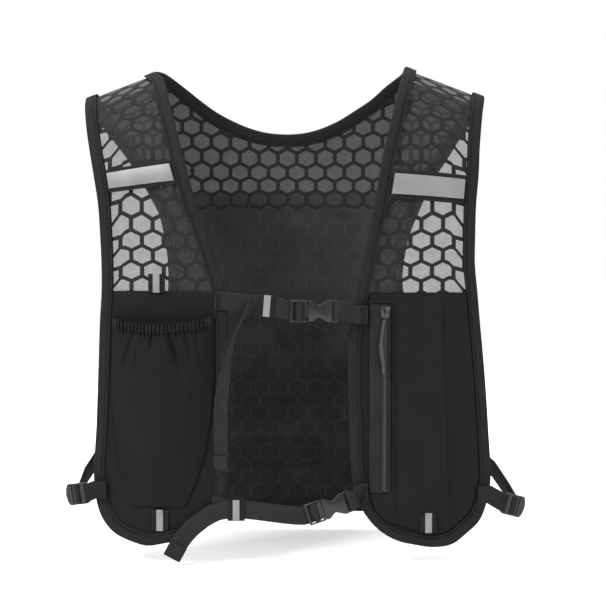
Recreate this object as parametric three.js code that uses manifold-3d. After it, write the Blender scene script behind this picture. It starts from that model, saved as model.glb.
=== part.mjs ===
// Running hydration vest, in millimetres.
// +Z is up, the wearer faces -Y and +X is the wearer's left hand, seen on the right from the front.
// The origin is midway between the two shoulder straps, at the height of their crests.
//
// The vest is worn: every panel lies on one smooth form, and a point of it is given by
// x, the run along the cloth from the shoulder crest (front positive, back negative)
// and the lift off the form.

import * as THREE from 'three';
import Module from 'manifold-3d';

const wasm = await Module();
wasm.setup();

// Overall form
const HALF_WIDTH = 180; // middle of the chest to the corner of the armhole
const FRONT_DROP = 408; // shoulder crest to the low corner of a front panel
const BACK_DROP = 404; // shoulder crest to the hem of the back
const NECK_DROP = 89; // shoulder crest to the lowest point of the back neckline
const STRAP_MIDDLE = 145; // middle of the vest to the middle of a shoulder strap
const CREST_SLOPE = 0.41; // how steeply the shoulders fall outwards
const CREST_ROUND = 60;
const FRONT = { side: -1, reach: 88, fall: 130, flare: 0.33 };
const BACK = { side: 1, reach: 82, fall: 115, flare: 0.27 };

// Cloth and trim
const CLOTH = 1.4; // wall of a fabric panel
const LAYER_GAP = 0.5; // clearance between one layer and the next
const JOIN_GAP = 0.5; // clearance between two panels that meet edge to edge
const BINDING_WIDTH = 9;
const BINDING_WALL = 0.9;
const CLOTH_TOP = CLOTH / 2;
const BINDING_TOP = CLOTH_TOP + LAYER_GAP + BINDING_WALL;
const BINDING_EDGE = BINDING_WIDTH + LAYER_GAP; // where the binding leaves the panel bare

// Hexagon mesh
const HEX_PITCH = 19.4;
const HEX_ROW = 13.6;
const HEX_STRUT = 3;
const PLAIN_BORDER = BINDING_EDGE; // mesh left whole along its edges, under the binding
const HOLE_MARGIN = 0.4; // least cloth between that border and a hole
const BOW = 1e-7;
const BOW_FROM = [1700, 1310]; // far from every panel, so that no line of corners passes through it
const LONGEST_ACROSS = 28;
const LONGEST_BENT = 17;

// Webbing and hardware
const WEBBING_WIDTH = 16;
const WEBBING = 1.4; // thickness
const BAR = 2; // width and thickness of a buckle's bars
const BUCKLE_WIDTH = 19.4;

const LEFT = { name: 'left', sign: -1 };
const RIGHT = { name: 'right', sign: 1 };
const SIDES = [LEFT, RIGHT];

// Colours and finishes
const FINISH = {
  fabric: { color: 0x262627, roughness: 0.85, metalness: 0 },
  mesh: { color: 0x303031, roughness: 0.9, metalness: 0 },
  binding: { color: 0x3c3c3d, roughness: 0.9, metalness: 0 },
  webbing: { color: 0x404041, roughness: 0.85, metalness: 0 },
  elastic: { color: 0x2c2c2d, roughness: 0.9, metalness: 0 },
  reflective: { color: 0x9d9d9c, roughness: 0.4, metalness: 0.3 },
  plastic: { color: 0x3a3a3b, roughness: 0.45, metalness: 0 },
  metal: { color: 0x6b6b6d, roughness: 0.3, metalness: 0.9 },
};

const vest = new THREE.Group();

// Adds one named piece to the vest.
function addPiece(name, geometry, finish, frame) {
  const mesh = new THREE.Mesh(geometry, new THREE.MeshStandardMaterial(FINISH[finish]));
  mesh.name = name;
  if (frame) {
    mesh.position.copy(frame.at);
    mesh.setRotationFromMatrix(new THREE.Matrix4().makeBasis(frame.u, frame.v, frame.w));
  }
  vest.add(mesh);
}

// Turns rows of shares into objects with named columns.
function table(columns, rows) {
  return rows.map((row) => Object.fromEntries(columns.map((column, i) => [column, row[i]])));
}

// The form that the cloth lies on

function crest(x) {
  return CREST_SLOPE * (Math.hypot(STRAP_MIDDLE, CREST_ROUND) - Math.hypot(x, CREST_ROUND));
}

function crestSlope(x) {
  return (-CREST_SLOPE * x) / Math.hypot(x, CREST_ROUND);
}

// Length of cloth over the rounded top of a form, from the crest to where it hangs straight.
function turnLength(form) {
  return ((form.reach + form.fall) / 2) * (Math.PI / 2);
}

// Run of the cloth at a drop below the crest.
function runAt(form, drop) {
  const turn = turnLength(form);
  const run = drop < form.fall
    ? (turn * Math.acos(1 - Math.max(drop, 0) / form.fall)) / (Math.PI / 2)
    : turn + drop - form.fall;
  return -form.side * run;
}

function runAtLevel(form, x, z) {
  return runAt(form, crest(x) - z);
}

// The point of the form at x and run, lifted outwards along the form's normal.
function place(x, run, lift = 0) {
  const form = run >= 0 ? FRONT : BACK;
  const turn = turnLength(form);
  const length = Math.abs(run);
  const angle = (Math.min(length / turn, 1) * Math.PI) / 2;
  const drop = length < turn ? form.fall * (1 - Math.cos(angle)) : form.fall + length - turn;
  const reach = form.reach * (1 - form.flare * (x / HALF_WIDTH) ** 2);
  const reachSlope = (-2 * form.reach * form.flare * x) / HALF_WIDTH ** 2;
  const y = form.side * reach * Math.sin(angle);
  const point = new THREE.Vector3(x, y, crest(x) - drop);
  const normal = new THREE.Vector3(-reachSlope, form.side, 0);
  if (length < turn) {
    const left = 1 - drop / form.fall;
    normal.set(
      (-2 * y * y * reachSlope) / reach ** 3 - (2 * left * crestSlope(x)) / form.fall,
      (2 * y) / reach ** 2,
      (2 * left) / form.fall,
    );
  }
  return point.addScaledVector(normal.normalize(), lift);
}

// A point on the front of the form at a height, lifted off it.
function onFront(x, z, lift) {
  return place(x, runAtLevel(FRONT, x, z), lift);
}

// Outlines of the panels, as shares of the half width and of the front's and back's drops

const FRONT_ROWS = table(
  ['outerDrop', 'outerLeft', 'outerRight', 'innerDropLeft', 'innerLeft', 'innerDropRight', 'innerRight'],
  [
    [0, 1.008, 0.984, 0, 0.669, 0, 0.597],
    [0.005, 1.007, 0.981, 0.005, 0.656, 0.005, 0.593],
    [0.017, 1.005, 0.974, 0.017, 0.627, 0.017, 0.581],
    [0.039, 0.998, 0.964, 0.039, 0.607, 0.042, 0.562],
    [0.074, 0.986, 0.953, 0.078, 0.585, 0.083, 0.54],
    [0.118, 0.968, 0.943, 0.132, 0.553, 0.142, 0.507],
    [0.172, 0.946, 0.936, 0.199, 0.515, 0.216, 0.47],
    [0.24, 0.922, 0.922, 0.277, 0.47, 0.292, 0.443],
    [0.309, 0.912, 0.918, 0.36, 0.41, 0.368, 0.411],
    [0.37, 0.907, 0.918, 0.444, 0.354, 0.444, 0.378],
    [0.43, 0.908, 0.932, 0.522, 0.309, 0.52, 0.345],
    [0.49, 0.917, 0.945, 0.588, 0.297, 0.588, 0.316],
    [0.6, 0.928, 0.971, 0.681, 0.296, 0.681, 0.306],
    [0.716, 0.94, 0.992, 0.789, 0.298, 0.789, 0.313],
    [0.833, 0.956, 1.006, 0.912, 0.301, 0.912, 0.325],
    [0.887, 0.944, 0.986, 0.963, 0.317, 0.963, 0.349],
    [0.929, 0.915, 0.952, 0.998, 0.366, 0.998, 0.396],
    [0.968, 0.859, 0.885, 1.021, 0.442, 1.021, 0.461],
    [1.002, 0.767, 0.811, 1.031, 0.533, 1.031, 0.544],
    [1.022, 0.689, 0.711, 1.028, 0.611, 1.028, 0.633],
  ],
);

const ARMHOLE_ROWS = table(['drop', 'left', 'right'], [
  [0, 1.008, 0.984],
  [0.02, 0.997, 0.975],
  [0.05, 0.972, 0.95],
  [0.084, 0.937, 0.918],
  [0.124, 0.886, 0.872],
  [0.168, 0.832, 0.826],
  [0.218, 0.778, 0.769],
  [0.272, 0.722, 0.717],
  [0.322, 0.675, 0.678],
  [0.366, 0.652, 0.643],
  [0.421, 0.633, 0.614],
  [0.495, 0.626, 0.597],
  [0.58, 0.65, 0.628],
  [0.67, 0.715, 0.7],
  [0.77, 0.79, 0.785],
  [0.865, 0.835, 0.835],
  [0.928, 0.82, 0.82],
  [0.97, 0.765, 0.765],
]);

const NECK_ROWS = table(['drop', 'left', 'right'], [
  [0, 0.669, 0.597],
  [0.07, 0.616, 0.589],
  [0.16, 0.578, 0.553],
  [0.27, 0.532, 0.507],
  [0.45, 0.457, 0.437],
  [0.63, 0.373, 0.348],
  [0.78, 0.284, 0.266],
  [0.9, 0.192, 0.178],
  [0.975, 0.1, 0.09],
]);

// Where the parts of a front meet: the drop at the outer and at the inner edge
const JOINS = {
  left: { bandTop: [0.172, 0.199], bandFoot: [0.223, 0.257], panelTop: [0.43, 0.522] },
  right: { bandTop: [0.185, 0.225], bandFoot: [0.248, 0.292], panelTop: [0.43, 0.52] },
};
const SHOULDER_SEAM_RUN = 38; // how far the shoulder mesh reaches down the back
const POCKET_LINE_DROP = 103; // top of the rear pocket below the crest
const YOKE_OVERLAP = 10; // how far the yoke mesh reaches below the pocket's top

function capital(word) {
  return word[0].toUpperCase() + word.slice(1);
}

// Edges as lists of [x, run], from the crest to the foot.
function frontOuter(side) {
  return FRONT_ROWS.map((row) => [
    side.sign * row[`outer${capital(side.name)}`] * HALF_WIDTH,
    runAt(FRONT, row.outerDrop * FRONT_DROP),
  ]);
}

function frontInner(side) {
  return FRONT_ROWS.map((row) => [
    side.sign * row[`inner${capital(side.name)}`] * HALF_WIDTH,
    runAt(FRONT, row[`innerDrop${capital(side.name)}`] * FRONT_DROP),
  ]);
}

function backOuter(side) {
  return ARMHOLE_ROWS.map((row) => [
    side.sign * row[side.name] * HALF_WIDTH,
    runAt(BACK, row.drop * BACK_DROP),
  ]);
}

function neckEdge(side) {
  return NECK_ROWS.map((row) => [
    side.sign * row[side.name] * HALF_WIDTH,
    runAt(BACK, row.drop * NECK_DROP),
  ]);
}

const NECK_LOW = [0, runAt(BACK, NECK_DROP)];

// The part of an edge between two runs.
function slice(edge, from, to) {
  const at = (run) => {
    const i = edge.findIndex((p, k) => k > 0 && (edge[k - 1][1] - run) * (p[1] - run) <= 0);
    const [a, b] = [edge[i - 1], edge[i]];
    const share = b[1] === a[1] ? 0 : (run - a[1]) / (b[1] - a[1]);
    return [a[0] + (b[0] - a[0]) * share, run];
  };
  const low = Math.min(from, to);
  const high = Math.max(from, to);
  const inside = edge.filter((p) => p[1] > low + 1 && p[1] < high - 1);
  return [at(from), ...inside, at(to)];
}

// A horizontal line across the form at a height, in a few steps.
function levelLine(form, fromX, toX, z, steps = 8) {
  return Array.from({ length: steps + 1 }, (_, i) => {
    const x = fromX + ((toX - fromX) * i) / steps;
    return [x, runAtLevel(form, x, z)];
  });
}

// A line of [x, run] points moved sideways, to its left seen along the line.
function offsetLine(line, distance) {
  return line.map((point, i) => {
    const before = line[Math.max(i - 1, 0)];
    const after = line[Math.min(i + 1, line.length - 1)];
    const along = new THREE.Vector2(after[0] - before[0], after[1] - before[1]).normalize();
    return [point[0] - along.y * distance, point[1] + along.x * distance];
  });
}

// A closed outline, turned positive, moved inwards at each corner.
function offsetLoop(loop, distance) {
  const direction = (p, q) => new THREE.Vector2(q[0] - p[0], q[1] - p[1]).normalize();
  return loop.map((point, i) => {
    const before = direction(loop[(i + loop.length - 1) % loop.length], point);
    const after = direction(point, loop[(i + 1) % loop.length]);
    const along = before.clone().add(after).normalize();
    const reach = distance / Math.max(along.dot(after), 0.5);
    return [point[0] - along.y * reach, point[1] + along.x * reach];
  });
}

// A line with its long steps divided, so that what follows it keeps to the round of the form.
function refined(line) {
  return line.flatMap((p, i) => {
    if (i === line.length - 1) return [p];
    const q = line[i + 1];
    const form = p[1] + q[1] >= 0 ? FRONT : BACK;
    const bent = Math.min(Math.abs(p[1]), Math.abs(q[1])) < turnLength(form);
    const steps = Math.max(
      Math.ceil(Math.abs(q[0] - p[0]) / LONGEST_ACROSS),
      Math.ceil(Math.abs(q[1] - p[1]) / (bent ? LONGEST_BENT : FRONT_DROP)),
    );
    return Array.from({ length: steps }, (_, k) => [
      p[0] + ((q[0] - p[0]) * k) / steps,
      p[1] + ((q[1] - p[1]) * k) / steps,
    ]);
  });
}

// Sheets of cloth

function signedArea(polygon) {
  return polygon.reduce((sum, [x, y], i) => {
    const [nextX, nextY] = polygon[(i + 1) % polygon.length];
    return sum + (x * nextY - nextX * y) / 2;
  }, 0);
}

function turnedPositive(polygon) {
  return signedArea(polygon) < 0 ? [...polygon].reverse() : polygon;
}

// The part of an outline inside one convex tile.
function clipToTile(outline, tile) {
  let kept = outline;
  tile.forEach((a, i) => {
    const b = tile[(i + 1) % tile.length];
    const side = (p) => (b[0] - a[0]) * (p[1] - a[1]) - (b[1] - a[1]) * (p[0] - a[0]);
    const next = [];
    kept.forEach((p, k) => {
      const q = kept[(k + 1) % kept.length];
      const [sideP, sideQ] = [side(p), side(q)];
      if (sideP >= 0) next.push(p);
      if (sideP * sideQ < 0) {
        const share = sideP / (sideP - sideQ);
        next.push([p[0] + (q[0] - p[0]) * share, p[1] + (q[1] - p[1]) * share]);
      }
    });
    kept = next;
  });
  return kept;
}

// Whether every corner of a hole lies inside the outline and clear of its edge.
function holeFits(hole, outline, margin) {
  const edge = new THREE.Line3();
  const nearest = new THREE.Vector3();
  return hole.every(([x, y]) => {
    let inside = false;
    const point = new THREE.Vector3(x, y, 0);
    return outline.every((p, i) => {
      const q = outline[(i + 1) % outline.length];
      if (p[1] > y !== q[1] > y && x < ((q[0] - p[0]) * (y - p[1])) / (q[1] - p[1]) + p[0]) inside = !inside;
      edge.set(new THREE.Vector3(p[0], p[1], 0), new THREE.Vector3(q[0], q[1], 0));
      return edge.closestPointToPoint(point, true, nearest).distanceTo(point) >= margin;
    }) && inside;
  });
}

// Square tiles that cover an outline.
function squareTiles(outline, across, along) {
  const xs = outline.map((p) => p[0]);
  const runs = outline.map((p) => p[1]);
  const [lowX, highX] = [Math.min(...xs), Math.max(...xs)];
  const [lowRun, highRun] = [Math.min(...runs), Math.max(...runs)];
  const columns = Math.ceil((highX - lowX) / across);
  const rows = Math.ceil((highRun - lowRun) / along);
  const x = (i) => lowX + ((highX - lowX) * i) / columns;
  const run = (j) => lowRun + ((highRun - lowRun) * j) / rows;
  const tiles = [];
  for (let i = 0; i < columns; i += 1) {
    for (let j = 0; j < rows; j += 1) {
      tiles.push([[x(i), run(j)], [x(i + 1), run(j)], [x(i + 1), run(j + 1)], [x(i), run(j + 1)]]);
    }
  }
  return tiles;
}

// The holes of the mesh, point up, in rows that cover an outline.
function hexagons(outline, [centreX, centreRun]) {
  const tip = (HEX_ROW * 2) / 3;
  const open = 1 - HEX_STRUT / HEX_PITCH;
  const corners = [[0, -tip], [0.5, -tip / 2], [0.5, tip / 2], [0, tip], [-0.5, tip / 2], [-0.5, -tip / 2]]
    .map(([x, y]) => [x * HEX_PITCH * open, y * open]);
  const xs = outline.map((p) => p[0]);
  const runs = outline.map((p) => p[1]);
  const firstRow = Math.floor((Math.min(...runs) - centreRun) / HEX_ROW);
  const lastRow = Math.ceil((Math.max(...runs) - centreRun) / HEX_ROW);
  const firstColumn = Math.floor((Math.min(...xs) - centreX) / HEX_PITCH) - 1;
  const lastColumn = Math.ceil((Math.max(...xs) - centreX) / HEX_PITCH);
  const holes = [];
  for (let row = firstRow; row <= lastRow; row += 1) {
    for (let column = firstColumn; column <= lastColumn; column += 1) {
      const x = centreX + (column + (row % 2 === 0 ? 0 : 0.5)) * HEX_PITCH;
      const run = centreRun + row * HEX_ROW;
      holes.push(corners.map((corner) => [x + corner[0], run + corner[1]]));
    }
  }
  return holes;
}

// One closed sheet over an outline, wall thick, at a lift that may vary over the sheet.
function sheet(outline, tiles, { wall = CLOTH, lift = () => 0 } = {}) {
  const border = turnedPositive(outline);
  const points = [];
  const known = new Map();
  const vertex = ([x, run]) => {
    const key = `${Math.round(x * 500)},${Math.round(run * 500)}`;
    if (!known.has(key)) {
      known.set(key, points.length);
      points.push([x, run]);
    }
    return known.get(key);
  };
  const faces = [];
  tiles.forEach((tile) => {
    const contour = [...new Set(clipToTile(border, turnedPositive(tile)).map(vertex))];
    const polygon = contour.map((i) => points[i]);
    if (contour.length > 2 && Math.abs(signedArea(polygon)) > 0.02) {
      triangulate(polygon, []).forEach((face) => faces.push(face.map((i) => contour[i])));
    }
  });
  return thicken(points, faces, wall, lift);
}

// One closed sheet of open mesh: a plain border, then hexagon holes cut through the rest.
function pierced(outline, centre) {
  const border = turnedPositive(refined([...outline, outline[0]]).slice(0, -1));
  const inside = offsetLoop(border, PLAIN_BORDER);
  const holes = hexagons(outline, centre)
    .filter((hole) => holeFits(hole, inside, HOLE_MARGIN))
    .map((hole) => turnedPositive(hole).reverse());
  const count = border.length;
  const faces = border.flatMap((_, i) => {
    const next = (i + 1) % count;
    return [[i, i + count, next], [next, i + count, next + count]];
  });
  triangulate(inside, holes).forEach((face) => faces.push(face.map((i) => i + count)));
  return thicken([...border, ...inside, ...holes.flat()], faces, CLOTH, () => 0);
}

// Triangles over a polygon with holes, all turned the way that faces outwards.
// The corners are bowed a little first, because no three of them may lie on one line.
function triangulate(polygon, holes) {
  const bowed = (list) => list.map(([x, run]) => {
    const away = new THREE.Vector2(x - BOW_FROM[0], run - BOW_FROM[1]);
    return away.multiplyScalar(1 + BOW * away.lengthSq());
  });
  const points = bowed([...polygon, ...holes.flat()]);
  return THREE.ShapeUtils.triangulateShape(bowed(polygon), holes.map(bowed)).map((face) => (
    signedArea(face.map((i) => points[i].toArray())) > 0 ? [...face].reverse() : face));
}

// Gives a triangulated sheet its wall and closes its rims.
function thicken(points, faces, wall, lift) {
  const at = points.map(([x, run], i) => {
    const middle = lift(x, run, i);
    return [place(x, run, middle + wall / 2), place(x, run, middle - wall / 2)];
  });
  return closed(at.map((pair) => pair[0]), at.map((pair) => pair[1]), faces);
}

// A closed body between two equal sets of points that share their faces.
function closed(tops, bottoms, faces) {
  const count = tops.length;
  const triangles = [];
  const edges = new Map();
  faces.forEach(([a, b, c]) => {
    triangles.push([a, b, c], [c + count, b + count, a + count]);
    [[a, b], [b, c], [c, a]].forEach(([p, q]) => {
      if (!edges.delete(`${q},${p}`)) edges.set(`${p},${q}`, [p, q]);
    });
  });
  edges.forEach(([p, q]) => {
    triangles.push([q, p, p + count], [q, p + count, q + count]);
  });
  return solid([...tops, ...bottoms], triangles);
}

function solid(points, triangles) {
  const used = [...new Set(triangles.flat())];
  const order = new Map(used.map((index, i) => [index, i]));
  const geometry = new THREE.BufferGeometry();
  geometry.setAttribute(
    'position',
    new THREE.Float32BufferAttribute(used.flatMap((i) => points[i].toArray()), 3),
  );
  geometry.setIndex(triangles.flat().map((i) => order.get(i)));
  geometry.computeVertexNormals();
  return geometry;
}

// Joins equal loops of points into one closed body, with the two ends capped.
function loft(loops, capFaces) {
  const size = loops[0].length;
  const points = loops.flat();
  const triangles = [];
  for (let i = 0; i + 1 < loops.length; i += 1) {
    for (let k = 0; k < size; k += 1) {
      const [a, b] = [i * size + k, i * size + ((k + 1) % size)];
      triangles.push([a, b, b + size], [a, b + size, a + size]);
    }
  }
  const last = (loops.length - 1) * size;
  capFaces.forEach(([a, b, c]) => triangles.push([c, b, a], [a + last, b + last, c + last]));
  const volume = triangles.reduce((sum, [a, b, c]) => {
    const cross = new THREE.Vector3().crossVectors(points[b], points[c]);
    return sum + points[a].dot(cross);
  }, 0);
  return solid(points, volume < 0 ? triangles.map(([a, b, c]) => [c, b, a]) : triangles);
}

// A folded tape round an edge: a channel along a line of [x, run], open to the line's left.
function channel(line) {
  const outside = LAYER_GAP + BINDING_WALL;
  const inner = CLOTH_TOP + LAYER_GAP;
  const section = [
    [BINDING_WIDTH, BINDING_TOP], [-outside, BINDING_TOP], [-outside, -BINDING_TOP], [BINDING_WIDTH, -BINDING_TOP],
    [BINDING_WIDTH, -inner], [-LAYER_GAP, -inner], [-LAYER_GAP, inner], [BINDING_WIDTH, inner],
  ];
  const byOffset = section.map(([offset]) => offsetLine(line, offset));
  const loops = line.map((_, i) => section.map(([, lift], k) => place(...byOffset[k][i], lift)));
  const caps = THREE.ShapeUtils.triangulateShape(section.map(([a, b]) => new THREE.Vector2(a, b)), []);
  return loft(loops, caps);
}

// A flat strap: stations hold its middle and the direction across it.
function strap(stations, width = WEBBING_WIDTH, thickness = WEBBING) {
  const loops = stations.map(({ at, across }, i) => {
    const before = stations[Math.max(i - 1, 0)].at;
    const after = stations[Math.min(i + 1, stations.length - 1)].at;
    const along = new THREE.Vector3().subVectors(after, before).normalize();
    const side = across.clone().addScaledVector(along, -across.dot(along)).normalize();
    const normal = new THREE.Vector3().crossVectors(along, side);
    return [[1, 1], [-1, 1], [-1, -1], [1, -1]].map(([a, n]) => at.clone()
      .addScaledVector(side, (a * width) / 2)
      .addScaledVector(normal, (n * thickness) / 2));
  });
  return loft(loops, [[0, 1, 2], [0, 2, 3]]);
}

// A plate with holes, drawn in u and v, from one height to another.
function plate(outline, holes, low, high) {
  const corners = [...outline, ...holes.flat()];
  const at = (w) => corners.map(([u, v]) => new THREE.Vector3(u, v, w));
  return closed(at(high), at(low), triangulate(outline, holes).map((face) => [...face].reverse()));
}

function rectangle(lowU, lowV, highU, highV) {
  return [[lowU, lowV], [highU, lowV], [highU, highV], [lowU, highV]];
}

// Exact joins and cuts

function toManifold(geometry) {
  const position = geometry.attributes.position;
  const known = new Map();
  const vertices = [];
  const merged = Array.from({ length: position.count }, (_, i) => {
    const point = [position.getX(i), position.getY(i), position.getZ(i)];
    const key = point.map((value) => Math.round(value * 1e4)).join();
    if (!known.has(key)) {
      known.set(key, vertices.length / 3);
      vertices.push(...point);
    }
    return known.get(key);
  });
  const corners = geometry.index ? [...geometry.index.array].map((i) => merged[i]) : merged;
  return new wasm.Manifold(new wasm.Mesh({
    numProp: 3,
    vertProperties: new Float32Array(vertices),
    triVerts: new Uint32Array(corners),
  }));
}

function fromManifold(body) {
  const { vertProperties, triVerts } = body.getMesh();
  const geometry = new THREE.BufferGeometry();
  geometry.setAttribute('position', new THREE.BufferAttribute(new Float32Array(vertProperties), 3));
  geometry.setIndex([...triVerts]);
  return geometry;
}

function join(...geometries) {
  return fromManifold(geometries.map(toManifold).reduce((a, b) => a.add(b)));
}

function cut(geometry, ...tools) {
  return fromManifold(tools.map(toManifold).reduce((a, b) => a.subtract(b), toManifold(geometry)));
}

// Front panels, mesh windows and reflective bands

function joinRuns(side, join) {
  return JOINS[side.name][join].map((share) => runAt(FRONT, share * FRONT_DROP));
}

// The outline of a front between two joins, each given as its runs at the outer and inner edge.
function frontOutline(side, top, foot) {
  return [
    ...slice(frontOuter(side), top[0], foot[0]),
    ...slice(frontInner(side), top[1], foot[1]).reverse(),
  ];
}

function bandMiddle(side, shift) {
  const top = joinRuns(side, 'bandTop');
  const foot = joinRuns(side, 'bandFoot');
  return top.map((run, i) => (run + foot[i]) / 2 + shift);
}

function addFrontMesh(side) {
  const panelTop = joinRuns(side, 'panelTop').map((run) => run - JOIN_GAP);
  const window = frontOutline(side, bandMiddle(side, JOIN_GAP), panelTop);
  const centre = side.sign * 0.68 * HALF_WIDTH;
  const meshCentre = [centre, bandMiddle(side, 0)[0]];
  addPiece(`chest_mesh_${side.name}`, pierced(window, meshCentre), 'mesh');
  const foot = bandMiddle(side, -JOIN_GAP);
  const outer = [...backOuter(side).reverse(), ...frontOuter(side).slice(1)];
  const inner = [...neckEdge(side).reverse(), ...frontInner(side).slice(1)];
  const over = [
    ...slice(outer, -SHOULDER_SEAM_RUN, foot[0]),
    ...slice(inner, -SHOULDER_SEAM_RUN, foot[1]).reverse(),
  ];
  addPiece(`shoulder_mesh_${side.name}`, pierced(over, meshCentre), 'mesh');
}

function addFrontPanel(side) {
  const outer = slice(frontOuter(side), joinRuns(side, 'panelTop')[0], frontOuter(side).at(-1)[1]);
  const inner = slice(frontInner(side), joinRuns(side, 'panelTop')[1], frontInner(side).at(-2)[1]);
  const outline = [...outer, frontInner(side).at(-1), ...inner.reverse()];
  addPiece(`front_panel_${side.name}`, sheet(outline, squareTiles(outline, 32, 60)), 'fabric');
}

// A strip across a front between the two bindings, between shares of the band's height.
function addBand(side, name, shares, lift, wall, finish, inset) {
  const top = joinRuns(side, 'bandTop');
  const foot = joinRuns(side, 'bandFoot');
  const rows = shares.map((share) => top.map((run, i) => run + (foot[i] - run) * share));
  const ends = rows.map(([outerRun, innerRun]) => {
    const outer = slice(frontOuter(side), outerRun, outerRun + 1)[0];
    const inner = slice(frontInner(side), innerRun, innerRun + 1)[0];
    return [[outer[0] - side.sign * inset, outer[1]], [inner[0] + side.sign * inset, inner[1]]];
  });
  const outline = [ends[0][0], ends[0][1], ends[1][1], ends[1][0]];
  addPiece(`${name}_${side.name}`, sheet(outline, squareTiles(outline, 20, 40), { wall, lift: () => lift }), finish);
}

const BAND_WALL = 1;
const BAND_LIFT = CLOTH_TOP + LAYER_GAP + BAND_WALL / 2;
const STRIPE_LIFT = BAND_LIFT + BAND_WALL + 0.3;

SIDES.forEach((side) => {
  addFrontMesh(side);
  addFrontPanel(side);
  addBand(side, 'shoulder_band', [0, 1], BAND_LIFT, BAND_WALL, 'fabric', BINDING_EDGE + LAYER_GAP);
  addBand(side, 'reflective_strip', [0.16, 0.84], STRIPE_LIFT, BAND_WALL, 'reflective', BINDING_EDGE + 1.4);
});

// The back: pierced yoke, lining and the rear pocket behind it

function backEdges(fromRun, toRun) {
  return SIDES.map((side) => slice(backOuter(side), fromRun(side), toRun(side)));
}

function addBack() {
  const yokeFoot = -(POCKET_LINE_DROP + YOKE_OVERLAP);
  const seam = () => -(SHOULDER_SEAM_RUN + JOIN_GAP);
  const edgeAtLevel = (side, z) => {
    const edge = backOuter(side);
    return edge.findIndex(([x, run]) => run < runAtLevel(BACK, x, z));
  };
  const runAtFoot = (side, z) => {
    const edge = backOuter(side);
    const i = edgeAtLevel(side, z);
    const x = (edge[i - 1][0] + edge[i][0]) / 2;
    return runAtLevel(BACK, x, z);
  };
  const [armLeft, armRight] = backEdges(seam, (side) => runAtFoot(side, yokeFoot));
  const neck = (side) => slice([...neckEdge(side), NECK_LOW], seam(), NECK_LOW[1]);
  const foot = levelLine(BACK, armLeft.at(-1)[0], armRight.at(-1)[0], yokeFoot);
  const yoke = [
    ...armLeft, ...foot.slice(1, -1), ...[...armRight].reverse(),
    ...neck(RIGHT), ...neck(LEFT).reverse().slice(1),
  ];
  addPiece('back_yoke_mesh', pierced(yoke, [0, NECK_LOW[1] - 1.5 * HEX_ROW]), 'mesh');

  const outlineBelow = (z) => {
    const edges = SIDES.map((side) => slice(backOuter(side), runAtFoot(side, z), backOuter(side).at(-1)[1]));
    const top = levelLine(BACK, edges[0][0][0], edges[1][0][0], z);
    const hem = levelLine(BACK, -HEM_HALF, HEM_HALF, -BACK_DROP);
    return [...edges[0], ...hem, ...edges[1].reverse(), ...top.slice(1, -1).reverse()];
  };
  const lining = outlineBelow(yokeFoot - JOIN_GAP * 2);
  addPiece('back_lining', sheet(lining, squareTiles(lining, 44, 90)), 'fabric');
  const inset = BINDING_EDGE + 3 * LAYER_GAP;
  const pocket = offsetLoop(turnedPositive(outlineBelow(inset - POCKET_LINE_DROP)), inset);
  addPiece('back_pocket', sheet(pocket, squareTiles(pocket, 44, 90), { lift: () => BACK_POCKET_LIFT }), 'fabric');
}

const HEM_HALF = 0.66 * HALF_WIDTH; // half the straight length of the back hem
const BACK_POCKET_LIFT = CLOTH + 2 * LAYER_GAP;
addBack();

// Folded binding round every edge

function addBindings() {
  const end = 3.5;
  const neckLine = [
    ...frontInner(LEFT).slice(1).reverse(), ...neckEdge(LEFT), NECK_LOW,
    ...[...neckEdge(RIGHT)].reverse(), ...frontInner(RIGHT).slice(1),
  ];
  addPiece('binding_neck', channel(refined(neckLine).reverse()), 'binding');
  SIDES.forEach((side) => {
    const around = [...frontOuter(side).slice(1).reverse(), ...backOuter(side)];
    const corner = [side.sign * (HEM_HALF + end), runAt(BACK, crest(HEM_HALF) + BACK_DROP)];
    const line = refined([...around, corner]);
    addPiece(`binding_armhole_${side.name}`, channel(side === LEFT ? line : line.reverse()), 'binding');
  });
  const hem = levelLine(BACK, -(HEM_HALF - end), HEM_HALF - end, -BACK_DROP);
  addPiece('binding_back_hem', channel(hem), 'binding');
}
addBindings();

// The flask pocket: a gathered pouch on the left front

const POUCH = { mouth: 207, foot: 374, dip: 5, rise: 4, fullness: 14, columns: 24, gather: 0.9, hem: 0.045 };
const POUCH_ROWS = table(['down', 'outer', 'inner', 'full'], [
  [0, 0.856, 0.358, 0.78],
  [0.045, 0.857, 0.358, 0.84],
  [0.14, 0.86, 0.358, 0.96],
  [0.32, 0.864, 0.36, 1],
  [0.52, 0.858, 0.374, 0.86],
  [0.72, 0.838, 0.405, 0.62],
  [0.88, 0.805, 0.455, 0.34],
  [1, 0.775, 0.505, 0],
]);
const POUCH_FOLDS = table(['mouthAt', 'footAt', 'width', 'depth'], [
  [0.16, 0.4, 0.07, 2.4],
  [0.36, 0.48, 0.06, -1.8],
  [0.58, 0.55, 0.08, 2.2],
  [0.84, 0.66, 0.07, 1.8],
]);
const POUCH_LIFT = CLOTH + LAYER_GAP;

function pouchLift(row, s, column) {
  const round = Math.sin(Math.PI * s);
  const folds = POUCH_FOLDS.reduce((sum, fold) => {
    const at = fold.mouthAt + (fold.footAt - fold.mouthAt) * row.down;
    return sum + fold.depth * Math.exp(-(((s - at) / fold.width) ** 2)) * Math.sin(Math.PI * row.down) * round;
  }, 0);
  const gather = (column % 2 ? 1 : -1) * POUCH.gather * Math.max(1 - 3 * row.down, 0) * Math.min(3 * round, 1);
  return POUCH_LIFT + POUCH.fullness * row.full * round ** 0.8 + folds + gather;
}

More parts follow.
